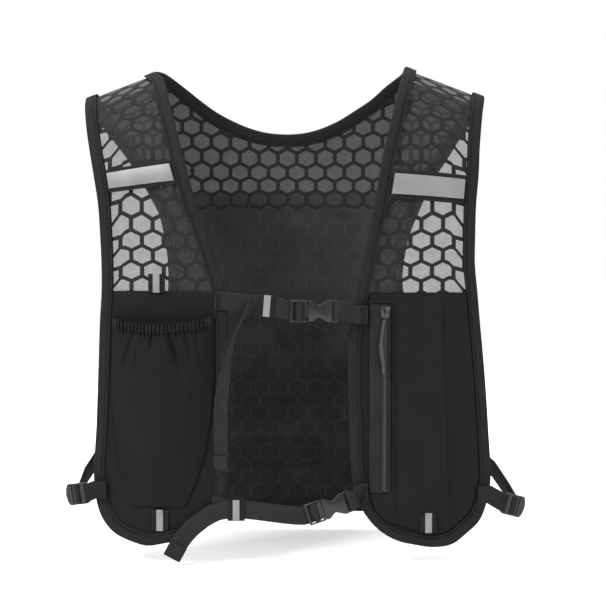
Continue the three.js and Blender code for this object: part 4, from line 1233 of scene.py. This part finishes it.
@dataclass
class Panels:
    """The plain cloth panels, the zip pocket's cloth and the back."""

    shop: Workshop
    lining_area: float = 0.0745
    rear_area: float = 0.0687
    left_area: float = 0.0253
    right_area: float = 0.026
    pocket_area: float = 0.0172
    sag: float = 4.5
    zip_side: float = 93.5
    rear_top: float = -109.0

    def shaped(
        self, node: str, name: str, finish: Finish, cuts: int, move: Callable[[Vector], Vector]
    ) -> bpy.types.Object:
        """A finely divided copy of a CAD panel, shaped and dressed.

        Args:
            node: The CAD panel.
            name: The copy's name.
            finish: Its finish.
            cuts: How often its faces are divided.
            move: How far each place on it moves.

        Returns:
            The copy.
        """
        made = self.shop.copied(node, name, cuts)
        self.shop.reshape(made, move)
        self.shop.soften(made, 50)
        return self.shop.dressed(made, finish, node)

    def lining_move(self, p: Vector) -> Vector:
        """How the lining settles towards the rear and sags at the hem."""
        near = fade(150 - abs(p.x), 25, 60) * fade(-p.z, 118, 150) * fade(-p.z, 400, 370)
        settled = -1.6 * near * (0.5 + 0.5 * crumple(p, 0.02, 5))
        return Vector((0, settled, -self.sag * fade(-p.z, 370, 402)))

    def rear_move(self, p: Vector) -> Vector:
        """How the rear pocket's cloth drapes and sags at the hem."""
        near = fade(140 - abs(p.x), 5, 50) * fade(-p.z, 97, 130) * fade(-p.z, 392, 350)
        drape = 3.0 + 1.6 * crumple(p, 0.016, 9) + 1.2 * math.sin(p.x / 21 + p.z / 90)
        return Vector((0, max(drape, 0) * near, -self.sag * fade(-p.z, 370, 402)))

    @staticmethod
    def front_move(p: Vector) -> Vector:
        """How a front's cloth creases."""
        crease = 0.35 * crumple(p, 0.05, 2) * fade(-p.z, 185, 200)
        return Vector((0, min(0.0, crease), 0))

    def pocket_move(self, p: Vector) -> Vector:
        """How the zip pocket's cloth stands out: a flap beside the zip, a seam and a long pleat.

        Args:
            p: A place on the pocket.

        Returns:
            How far it moves.
        """
        level = -p.z
        ends = fade(level, 183, 200) * fade(level, 392, 365)
        body = fade(p.x, 94, 108) * fade(176 - p.x, 8, 30)
        pleat = 138 + (147 - 138) * (level - 183) / 215
        out = body * (1.6 + 0.9 * crumple(p, 0.022, 4) + 0.5 * math.sin(p.x / 9 + level / 60))
        out += 3.0 * fade(p.x, 97, 100.5) * fade(pleat - p.x, 0, 3.0)
        out += 1.2 * fade(p.x, pleat + 0.5, pleat + 5) * body
        out += 1.4 * bell(p.x - self.zip_side, 1.8)
        return Vector((0, -max(out, 0.0) * ends, 0))

    def cloths(self) -> None:
        """The back's cloths, the two fronts under the pockets and the zip pocket."""
        lining = self.shaped("back_lining", "back_lining_cloth", Finish.LINING, 3, self.lining_move)
        rear = self.shaped("back_pocket", "rear_pocket_cloth", Finish.CLOTH, 3, self.rear_move)
        for side, area in ((Side.LEFT, self.left_area), (Side.RIGHT, self.right_area)):
            name = f"{side.label}_front_cloth"
            made = self.shaped(f"front_panel_{side.label}", name, Finish.CLOTH, 3, self.front_move)
        made = self.shaped("zip_pocket", "zip_pocket_cloth", Finish.CLOTH, 4, self.pocket_move)

    def seams(self) -> None:
        """Rows of stitches across and along the panels."""
        sewing = Sewing("panel_stitches")
        for side, lift in ((Side.LEFT, 0.85), (Side.RIGHT, 2.75)):
            runs = [FORM.front_run(share) for share in EDGES.panel_top[side]]
            start, end = EDGES.crossing(side, runs, 11, 2.2)
            sewing.on_form([start, ((start[0] + end[0]) / 2, (start[1] + end[1]) / 2), end], lift)
        sewing.on_front([(97.2, -200), (97.2, -386)], 3.3)
        rear = [(x, FORM.run_at_level(BACK, x, self.rear_top)) for x in (-118, 0, 118)]
        sewing.on_form(rear, 3.4, 12)
        sewing.build(self.shop)

    def build(self) -> None:
        """Makes every panel."""
        self.cloths()
        self.seams()


@dataclass
class Windows:
    """The honeycomb mesh of the shoulders, the chest and the yoke."""

    shop: Workshop
    lift: float = -0.95
    wall: float = 0.3
    seam_run: float = -38.0
    yoke_foot: float = -122.0
    yoke_half: float = 120.0
    tuck: float = 4.0
    rows: int = 60
    columns: int = 18

    def sheet(self, name: str, outer: Line, inner: Line, fold: bool) -> bpy.types.Object:
        """A sheet between two edges, ruled from one to the other, mapped so that its rows lie level.

        Args:
            name: The sheet's name.
            outer: Its edge at the armhole.
            inner: Its edge at the neck.
            fold: Whether both sides' maps run outwards from the middle.

        Returns:
            The sheet.
        """
        points, uvs = [], []
        for a, b in zip(resampled(outer, self.rows), resampled(inner, self.rows)):
            row = [a.lerp(b, c / self.columns) for c in range(self.columns + 1)]
            points.append([FORM.place(p.x, p.y, self.lift) for p in row])
            for p in row:
                level = math.copysign(FORM.crest(p.x) * fade(abs(p.y), 20, 110), p.y)
                uvs.append((abs(p.x) if fold else p.x, p.y - level))
        return self.shop.grid(name, points, self.wall, uvs)

    def build(self) -> None:
        """Makes the straps' sheets and the yoke's."""
        halves = []
        for side in Side:
            label = side.label
            foot = [FORM.front_run(share) + self.tuck for share in EDGES.panel_top[side]]
            outer = [*reversed(EDGES.back_outer(side)), *EDGES.front_outer(side)[1:]]
            inner = [*reversed(EDGES.neck(side)), *EDGES.front_inner(side)[1:]]
            strap = self.sheet(f"strap_window_{label}", between(outer, self.seam_run, foot[0]),
                               between(inner, self.seam_run, foot[1]), True)
            self.shop.dressed(strap, Finish.WINDOW, f"chest_mesh_{label}", f"shoulder_mesh_{label}")
            low = [FORM.run_at_level(BACK, x, self.yoke_foot) for x in (self.yoke_half, 0.0)]
            neckline = [*EDGES.neck(side), EDGES.neck_low]
            arm = between(EDGES.back_outer(side), self.seam_run, low[0])
            neck = [*between(neckline, self.seam_run, EDGES.neck_low[1]), (0.0, low[1])]
            halves.append(self.sheet(f"yoke_half_{label}", arm, neck, False))
        yoke = self.shop.joined(halves, "yoke_window")
        self.shop.dressed(yoke, Finish.YOKE, "back_yoke_mesh")


@dataclass
class Pouch:
    """The gathered flask pocket on the left front."""

    shop: Workshop
    mouth: float = 207.0
    foot: float = 374.0
    dip: float = 5.0
    rise: float = 4.0
    fullness: float = 14.0
    lift: float = 1.9
    wall: float = 1.0
    gathers: int = 27
    gather_depth: float = 1.7
    columns: int = 220
    rows: int = 90
    band_lift: float = 1.25
    area: float = 0.0168
    # down, outer, inner, fullness
    table = (
        (0, 0.856, 0.358, 0.78), (0.045, 0.857, 0.358, 0.84), (0.14, 0.86, 0.358, 0.96),
        (0.32, 0.864, 0.36, 1.0), (0.52, 0.858, 0.374, 0.86), (0.72, 0.838, 0.405, 0.62),
        (0.88, 0.805, 0.455, 0.34), (1, 0.775, 0.505, 0.0),
    )
    # place at the mouth, place at the foot, width, depth, how far down it is deepest, reach
    folds = (
        (0.4, 0.5, 0.15, 2.6, 0.5, 0.38), (0.14, 0.42, 0.08, 1.8, 0.55, 0.34),
        (0.86, 0.64, 0.09, 1.6, 0.55, 0.34), (0.27, -0.3, 0.028, -5.4, 0.18, 0.14),
        (0.32, -0.1, 0.035, 2.6, 0.15, 0.12), (0.56, 1.1, 0.024, -4.6, 0.14, 0.11),
        (0.52, 0.9, 0.026, 1.8, 0.12, 0.1), (0.7, 1.25, 0.022, -3.6, 0.11, 0.08),
        (0.15, -0.2, 0.02, -3.4, 0.1, 0.08), (0.43, 0.3, 0.018, -2.6, 0.09, 0.06),
        (0.82, 1.1, 0.02, -3.0, 0.1, 0.07), (0.36, 0.2, 0.018, -1.3, 0.07, 0.05),
        (0.63, 0.9, 0.018, -1.4, 0.08, 0.05),
    )

    @staticmethod
    @cache
    def profile(down: float, column: int) -> float:
        """One column of the table at a share of the height.

        Args:
            down: Share of the height, from the mouth.
            column: The column.

        Returns:
            The column's value there.
        """
        curve = smooth([(row[0], row[column]) for row in Pouch.table], 10)
        for a, b in zip(curve, curve[1:]):
            if a.x <= down <= b.x:
                share = (down - a.x) / ((b.x - a.x) or 1)
                share = share if column < 3 else fade(share, 0, 1) * 0.4 + share * 0.6
                return a.y + (b.y - a.y) * share
        return curve[-1].y

    def spot(self, down: float, s: float) -> Spot:
        """Place of the cloth on the front.

        Args:
            down: Share of the height, from the mouth.
            s: Share of the width, from the armhole.

        Returns:
            Its x and height.
        """
        outer, inner = self.profile(down, 1), self.profile(down, 2)
        x = -FORM.half_width * (outer + (inner - outer) * s)
        mouth = self.mouth - self.rise * s + self.dip * math.sin(math.pi * s)
        return x, -(mouth + (self.foot - mouth) * down)

    def stand(self, down: float, s: float) -> float:
        """How far the cloth stands off the form.

        Args:
            down: Share of the height, from the mouth.
            s: Share of the width, from the armhole.

        Returns:
            The distance.
        """
        around = max(math.sin(math.pi * s), 0.0)
        free = fade(down, 0.01, 0.06) * around
        out = self.lift + self.fullness * self.profile(down, 3) * around**0.8
        for start, end, width, depth, deepest, reach in self.folds:
            at = start + (end - start) * down
            out += depth * bell(s - at, width) * bell(down - deepest, reach) * free
        warp = s + 0.012 * noise.noise(Vector((s * 9, 0.3, 1.7)))
        pleats = math.sin(2 * math.pi * self.gathers * warp)
        pleats *= 0.75 + 0.5 * noise.noise(Vector((s * 14, 2, 0)))
        out += self.gather_depth * pleats * (1 - fade(down, 0.03, 0.085)) * min(3 * around, 1)
        out += 0.5 * around * noise.noise(Vector((s * 5, down * 7, 4)))
        return max(out, self.lift - 0.3)

    def row(self, down: float, lift: float = 0.0, rise: float = 0.0) -> list[Vector]:
        """One line of points across the pocket.

        Args:
            down: Share of the height, from the mouth.
            lift: Distance off the cloth.
            rise: Distance above the mouth.

        Returns:
            The points.
        """
        made = []
        for c in range(self.columns + 1):
            x, z = self.spot(down, c / self.columns)
            made.append(FORM.on_front(x, z + rise, self.stand(down, c / self.columns) + lift))
        return made

    def cloth(self) -> None:
        """The pocket's cloth."""
        rows = [self.row((r / self.rows) ** 1.25) for r in range(self.rows + 1)]
        made = self.shop.grid("flask_pocket_cloth", rows, self.wall)
        self.shop.dressed(made, Finish.POUCH, "flask_pocket")

    def elastic(self) -> None:
        """The ruffled elastic that closes the pocket's mouth, with its row of stitches."""
        rows = []
        for r in range(9):
            down = -0.004 + 0.046 * r / 8
            roll = 0.5 * math.sin(math.pi * r / 8)
            rows.append(self.row(max(down, 0), self.band_lift + roll, -min(down, 0) * 160))
        made = self.shop.grid("flask_pocket_elastic", rows, 0.9)
        self.shop.dressed(made, Finish.ELASTIC, "flask_pocket_hem")
        sewing = Sewing("flask_elastic_stitches", pitch=2.6, length=1.8)
        line = self.row(0.034, self.band_lift + 0.75)
        sewing.row(line, [Vector((0, -1, 0))] * len(line))
        sewing.build(self.shop)

    def build(self) -> None:
        """Makes the pocket."""
        self.cloth()
        self.elastic()


@dataclass(frozen=True)
class Course:
    """Where a fastened strap runs: its buckle, its keeper, its sewn ends and its tail."""

    name: str
    buckle: Hardware
    keeper: Hardware
    anchor: Rows
    sewn: Sequence[Spot]
    tail: Rows
    hem: float


@dataclass
class Straps:
    """Webbing straps, their buckles, keepers and tails."""

    shop: Workshop
    width: float = 16.0
    thick: float = 1.4
    gap: float = 0.5
    bar: float = 2.0
    low: float = 3.8
    ladder: float = 7.9
    end_bar: float = 40.5
    plane: float = -88.0

    @property
    def high(self) -> float:
        """Lift of the second layer of webbing."""
        return self.low + self.thick + self.gap

    @property
    def bar_middle(self) -> float:
        """Lift of the middle of a buckle's bars."""
        return self.high + self.thick / 2 + self.gap + self.bar / 2

    @property
    def radius(self) -> float:
        """Middle of the webbing round a bar."""
        return self.bar / 2 + self.gap + self.thick / 2

    @property
    def waist_buckle(self) -> Hardware:
        """The frame of the waist strap's buckle."""
        return Hardware(Vector((17.7, self.plane, -378.5)), 0.33)

    def strap(self, name: str, node: str, stations: Sequence[Station], step: float = 2.5) -> None:
        """One length of webbing with rounded selvedges.

        Args:
            name: The piece's name.
            node: The CAD node it stands for.
            stations: Its places.
            step: Longest step along it.
        """
        middles = smooth([s.at for s in stations], step)
        across = []
        for a, b in zip(stations, stations[1:]):
            count = max(1, math.ceil((b.at - a.at).length / step))
            across.extend(a.across.lerp(b.across, k / count) for k in range(count))
        across.append(stations[-1].across)
        w, t = self.width / 2, self.thick / 2
        half = [(w, 0.25 * t), (w - 0.25, 0.8 * t), (w - 0.8, t), (w / 3, t), (-w / 3, t), (0.8 - w, t),
                (0.25 - w, 0.8 * t), (-w, 0.25 * t)]
        section = [*half, *[(a, -n) for a, n in reversed(half)]]
        loops = []
        for i, at in enumerate(middles):
            along = heading(middles, i)
            side = (across[i] - along * across[i].dot(along)).normalized()
            normal = along.cross(side)
            loops.append([at + side * a + normal * n for a, n in section])
        made = self.shop.loft(name, loops, lengths_along(middles), lengths_along(section), 55)
        self.shop.dressed(made, Finish.WEBBING, node)

    @staticmethod
    def on_front(rows: Rows) -> list[Station]:
        """Stations on the front from x, height and lift."""
        return [Station(FORM.on_front(*row), Vector((0, 0, 1))) for row in rows]

    def hemmed(self, stations: list[Station], length: float) -> list[Station]:
        """Doubles a strap's end back on itself.

        Args:
            stations: The strap.
            length: Length of the doubled end.

        Returns:
            The longer strap.
        """
        end = stations[-1]
        along = (end.at - stations[-2].at).normalized()
        out = along.cross(end.across).normalized()
        out = -out if out.y > 0 else out
        fold = self.thick + self.gap
        turn = [(0.5 * fold, 0.15), (0.75 * fold, 0.5), (0.5 * fold, 0.85), (-0.4, 1), (-length, 1)]
        return [*stations, *[Station(end.at + along * a + out * (o * fold), end.across) for a, o in turn]]

    def adjustable(self, course: Course) -> list[Station]:
        """The long webbing: from the panel, round the ladder's bar and back through the keeper.

        Args:
            course: Where the strap runs.

        Returns:
            Its stations.
        """
        keeper, buckle = course.keeper, course.buckle
        return [
            *self.on_front(course.anchor),
            *keeper.stations([(-8, self.low), (8, self.low)]),
            *buckle.stations([(-3, self.low), (self.ladder - 1, self.low)]),
            *buckle.around(self.ladder, -50, 210, self.bar_middle, self.radius),
            *buckle.stations([(3, self.high), (-3, self.high)]),
            *keeper.stations([(8, self.high), (-8, self.high)]),
            *self.tail(course.tail),
        ]

    def sewn(self, course: Course) -> list[Station]:
        """The short webbing: both layers run from the panel and round the end bar.

        Args:
            course: Where the strap runs.

        Returns:
            Its stations.
        """
        buckle = course.buckle
        return [
            *self.on_front([(x, z, self.high) for x, z in course.sewn]),
            *buckle.stations([(self.end_bar + 5, self.bar_middle + 0.6)]),
            *buckle.around(self.end_bar, 70, 290, self.bar_middle, self.radius),
            *buckle.stations([(self.end_bar + 5, self.low + 0.6)]),
            *self.on_front([(x, z, self.low) for x, z in reversed(course.sewn)]),
        ]

    def tail(self, rows: Rows) -> list[Station]:
        """Stations of a hanging tail.

        Args:
            rows: For each its x, height, distance out, swing and lean of its width.

        Returns:
            The stations.
        """
        made = []
        for x, z, out, swing, lean in rows:
            a, b = math.radians(swing), math.radians(lean)
            across = Vector((math.sin(b) * math.cos(a), -math.sin(a), math.cos(b) * math.cos(a)))
            made.append(Station(Vector((x, self.plane - out, z)), across))
        return made

    def courses(self) -> tuple[Course, Course]:
        """The chest strap's course and the waist strap's.

        Returns:
            Both courses.
        """
        low = self.low
        chest = Course(
            "chest", Hardware(Vector((3.1, self.plane, -197))),
            Hardware(Vector((-17.6, self.plane, -192.6)), -0.08),
            anchor=[(-63, -188.5, low), (-54, -189, low), (-40, -190.4, low + 0.4)],
            sewn=[(70, -201), (60, -200.6)],
            tail=[
                (-31, -193, 6.6, 25, 0), (-35, -197, 9, 60, 0), (-40, -206, 11.5, 84, 30),
                (-46, -219, 12.5, 84, 60), (-51, -236, 12, 70, 80), (-55, -256, 10.5, 50, 90),
                (-58, -280, 9.5, 42, 90), (-58.5, -310, 9, 40, 90), (-57, -336, 9, 40, 90),
            ],
            hem=11,
        )
        waist = Course(
            "waist", self.waist_buckle, Hardware(Vector((-45, self.plane, -374.2))),
            anchor=[(-66, -371, low), (-58, -371.6, low)],
            sewn=[(71, -359.5), (62, -360.5)],
            tail=[
                (-62, -376.5, 2.2, 0, -14), (-72, -382, 0.6, 0, -32), (-84, -391.5, -1, 0, -44),
                (-94, -403, -2, 0, -54), (-102, -417.5, -2, 0, -62),
            ],
            hem=12,
        )
        return chest, waist

    def fastened(self, course: Course) -> None:
        """Both webbings of one strap, with its buckle and keeper.

        Args:
            course: Where the strap runs.
        """
        name = course.name
        self.strap(f"{name}_webbing_left", f"{name}_strap_left",
                   self.hemmed(self.adjustable(course), course.hem))
        self.strap(f"{name}_webbing_right", f"{name}_strap_right", self.sewn(course))
        for node, made, finish, width in (
            ("buckle_male", "buckle_male_half", Finish.PLASTIC, 0.38),
            ("buckle_female", "buckle_female_half", Finish.PLASTIC, 0.38),
            ("keeper", "elastic_keeper", Finish.ELASTIC, 0.4),
            ("keeper_stripe", "keeper_shine", Finish.REFLECTIVE, 0.25),
        ):
            self.shop.bevelled(f"{name}_{node}", f"{name}_{made}", finish, width)

    def sides(self) -> None:
        """The side straps, kept in the CAD's shape with rounded edges, and their sliding buckles."""
        for side in Side:
            label = side.label
            for part in ("front", "back"):
                self.shop.bevelled(f"side_strap_{part}_{label}", f"side_webbing_{part}_{label}",
                                   Finish.SIDE_WEBBING, 0.35, False)
            self.shop.bevelled(f"side_slider_{label}", f"side_buckle_{label}", Finish.PLASTIC, 0.4)

    def ribbed(self, name: str, buckle: Hardware, profile: Sequence[Spot], half: float) -> None:
        """A ribbed moulded bar across a buckle.

        Args:
            name: The piece's name.
            buckle: The buckle's frame.
            profile: The bar's profile, by u and w.
            half: Half of its length.
        """
        loops = [[buckle.point(u, v, w) for u, w in profile] for v in (-half, half)]
        made = self.shop.loft(name, loops, [0, 2 * half], [float(i) for i in range(len(profile))], 30)
        self.shop.dressed(made, Finish.PLASTIC)

    def ladders(self) -> None:
        """The ribbed fronts of the side sliders and the base of the waist buckle's prongs."""
        ribs = [(-7.9, 0.5), (-0.6, 0.6), (0.4, 1.8), (2.4, 1.8), (3.0, 0.7), (4.4, 0.7), (5.0, 1.8),
                (7.0, 1.8), (7.6, 0.9), (8.8, 0.9), (8.8, -0.9), (-7.9, -0.5)]
        places = ((-187.8, -64.2, -365.4), 0.16), ((203, -60, -376.5), -0.28)
        for side, (at, tilt) in zip(Side, places):
            frame_at = Hardware(Vector(at), tilt, side.value * 0.26)
            profile = [(side.value * u, w) for u, w in ribs]
            self.ribbed(f"side_buckle_ribs_{side.label}", frame_at, profile, 8.5)
        low, high = self.bar_middle - 0.8, self.bar_middle + 0.6
        self.ribbed("waist_buckle_base", self.waist_buckle,
                    [(10.4, high), (16.2, high), (16.2, low), (10.4, low)], 7.4)

    def tacks(self) -> None:
        """Dense bar tacks where the straps are sewn to the fronts."""
        sewing = Sewing("strap_tacks", pitch=1.1, length=1.5, width=0.45)
        rows, tall, above = 5, 14, self.thick / 2 + 0.05
        for x, z, wide, lift in (
            (66.5, -201, 4.5, self.high), (68, -359.8, 4.5, self.high), (-60, -188.7, 3.5, self.low)
        ):
            for i in range(rows):
                at = x + (i / (rows - 1) - 0.5) * wide
                sewing.on_front([(at, z - tall / 2), (at, z + tall / 2)], lift + above)
        sewing.build(self.shop)

    def build(self) -> None:
        """Makes every strap."""
        for course in self.courses():
            self.fastened(course)
        self.sides()
        self.ladders()
        self.tacks()


@dataclass
class Trim:
    """Bands, tabs and the zip."""

    shop: Workshop
    coil_x: float = 85.5
    coil_lift: float = 3.2
    pitch: float = 2.4
    zip_top: float = 194.0
    zip_foot: float = 359.5

    def bands(self) -> None:
        """The reflective bands across the shoulders, with their stitches."""
        sewing = Sewing("band_stitches")
        for side in Side:
            label = side.label
            for node, made, finish, width in (
                ("shoulder_band", "band_base", Finish.BAND, 0.3),
                ("reflective_strip", "band_shine", Finish.REFLECTIVE, 0.25),
            ):
                self.shop.bevelled(f"{node}_{label}", f"{made}_{label}", finish, width, False)
            top, foot = ([FORM.front_run(share) for share in shares] for shares in EDGES.band[side])
            for share in (0.07, 0.93):
                runs = [a + (b - a) * share for a, b in zip(top, foot)]
                sewing.on_form(EDGES.crossing(side, runs, 12), 2.35, 10)
        sewing.build(self.shop)

    def tabs(self) -> None:
        """The small pull tabs with their reflective stripes."""
        for name in ("chest", "foot_left", "foot_right"):
            self.shop.bevelled(f"{name}_tab", f"{name}_pull_tab", Finish.ELASTIC, 0.3, False)
            self.shop.bevelled(f"{name}_tab_stripe", f"{name}_tab_shine", Finish.REFLECTIVE, 0.25, False)

    def zipper(self) -> None:
        """The zip's tape, slider and pull, and its teeth on both sides of the coil's line."""
        self.shop.bevelled("zipper_tape", "zip_tape_strip", Finish.ZIP_TAPE, 0.2, False)
        self.shop.bevelled("zipper_slider", "zip_slider", Finish.METAL, 0.35)
        self.shop.bevelled("zipper_pull", "zip_pull", Finish.PULL, 0.3, False)
        profile = ((0.2, 0.0), (0.2, 1.0), (1.6, 1.35), (2.7, 0.9), (2.7, 0.0))
        size = len(profile)
        points, faces = [], []
        level = self.zip_top
        while level < self.zip_foot:
            for sign in (-1, 1):
                first = len(points)
                middle = level + (self.pitch / 2 if sign > 0 else 0.0)
                for across, out in profile:
                    x, lift = self.coil_x + sign * (across - 0.6), self.coil_lift + out - 0.6
                    points.extend(FORM.on_front(x, up - middle, lift) for up in (-0.62, 0.62))
                for k in range(size):
                    a, b = first + 2 * k, first + 2 * ((k + 1) % size)
                    faces.append((a, a + 1, b + 1, b))
                faces.append(tuple(first + 2 * k for k in range(size)))
                faces.append(tuple(first + 2 * k + 1 for k in reversed(range(size))))
            level += self.pitch
        teeth = self.shop.piece("zip_teeth", points, faces)
        self.shop.soften(teeth, 40)
        self.shop.dressed(teeth, Finish.TEETH, "zipper_coil")

    def build(self) -> None:
        """Makes the trim."""
        self.bands()
        self.tabs()
        self.zipper()


class Studio:
    """A plain pale floor, soft light and the camera of the photograph."""

    floor_z = -0.4265
    distance = 2.0
    elevation = math.radians(6)
    aim = Vector((0.01408, 0.0, -0.2))
    lens = 129.33
    lamps = (
        ("key", (-1.5, -1.4, 1.7), 1.0, 85), ("fill", (1.6, -1.6, 0.4), 1.4, 16),
        ("top", (0.0, 0.6, 2.2), 3.2, 95),
    )

    def floor(self) -> None:
        """The floor, which fades into the surroundings far from the vest."""
        bpy.ops.mesh.primitive_plane_add(size=8, location=(0, 0, self.floor_z))
        plane = bpy.context.active_object
        plane.name = "floor"
        g = Graph.of_material("pale_floor")
        vector, x, y, _ = g.coordinates("Object")
        reach = (x * x + y * y) * 1e-6
        plane.data.materials.append(g.surface(
            Base_Color=g.mixed(g.noise(vector, 0.004, 2), grey(0.9), grey(0.92)), Roughness=0.7,
            Alpha=g.clamped(1.3 - reach * 0.55), Emission_Color=grey(1.0), Emission_Strength=0.2,
            Specular_IOR_Level=0.1,
        ))

    def surroundings(self) -> None:
        """White surroundings, brighter where the camera sees them than where they light the vest."""
        world = bpy.data.worlds.new("studio")
        bpy.context.scene.world = world
        g = Graph(world)
        seen = Value(g, g.node("ShaderNodeLightPath").outputs["Is Camera Ray"])
        g.fill("Background", Color=grey(1.0), Strength=seen * 0.45 + 0.55)

    def aimed(self, name: str, data: bpy.types.ID, place: Vector) -> bpy.types.Object:
        """A lamp or the camera, turned to the middle of the vest.

        Args:
            name: Its name.
            data: The lamp's or camera's data.
            place: Its place.

        Returns:
            The new object.
        """
        made = placed(name, data)
        made.location = place
        made.rotation_euler = (self.aim - place).to_track_quat("-Z", "Y").to_euler()
        return made

    def build(self) -> None:
        """Sets the stage."""
        bpy.context.scene.view_settings.view_transform = "Standard"
        self.floor()
        self.surroundings()
        for name, place, size, power in self.lamps:
            lamp = bpy.data.lights.new(name, "AREA")
            lamp.size, lamp.energy = size, power
            self.aimed(name, lamp, Vector(place))
        camera = bpy.data.cameras.new("camera")
        camera.lens, camera.sensor_width = self.lens, 36
        back = Vector((0, -math.cos(self.elevation), math.sin(self.elevation)))
        bpy.context.scene.camera = self.aimed("camera", camera, self.aim + back * self.distance)


def main() -> None:
    """Builds the studio and every sub-assembly."""
    logging.basicConfig(level=logging.INFO, format="%(name)s: %(message)s")
    bpy.ops.object.select_all(action="DESELECT")
    Studio().build()
    shop = Workshop()
    for assembly in (Panels(shop), Windows(shop), Bindings(shop), Pouch(shop), Straps(shop), Trim(shop)):
        assembly.build()
        LOG.info("built %s", type(assembly).__name__)


if __name__ == "__main__":
    main()
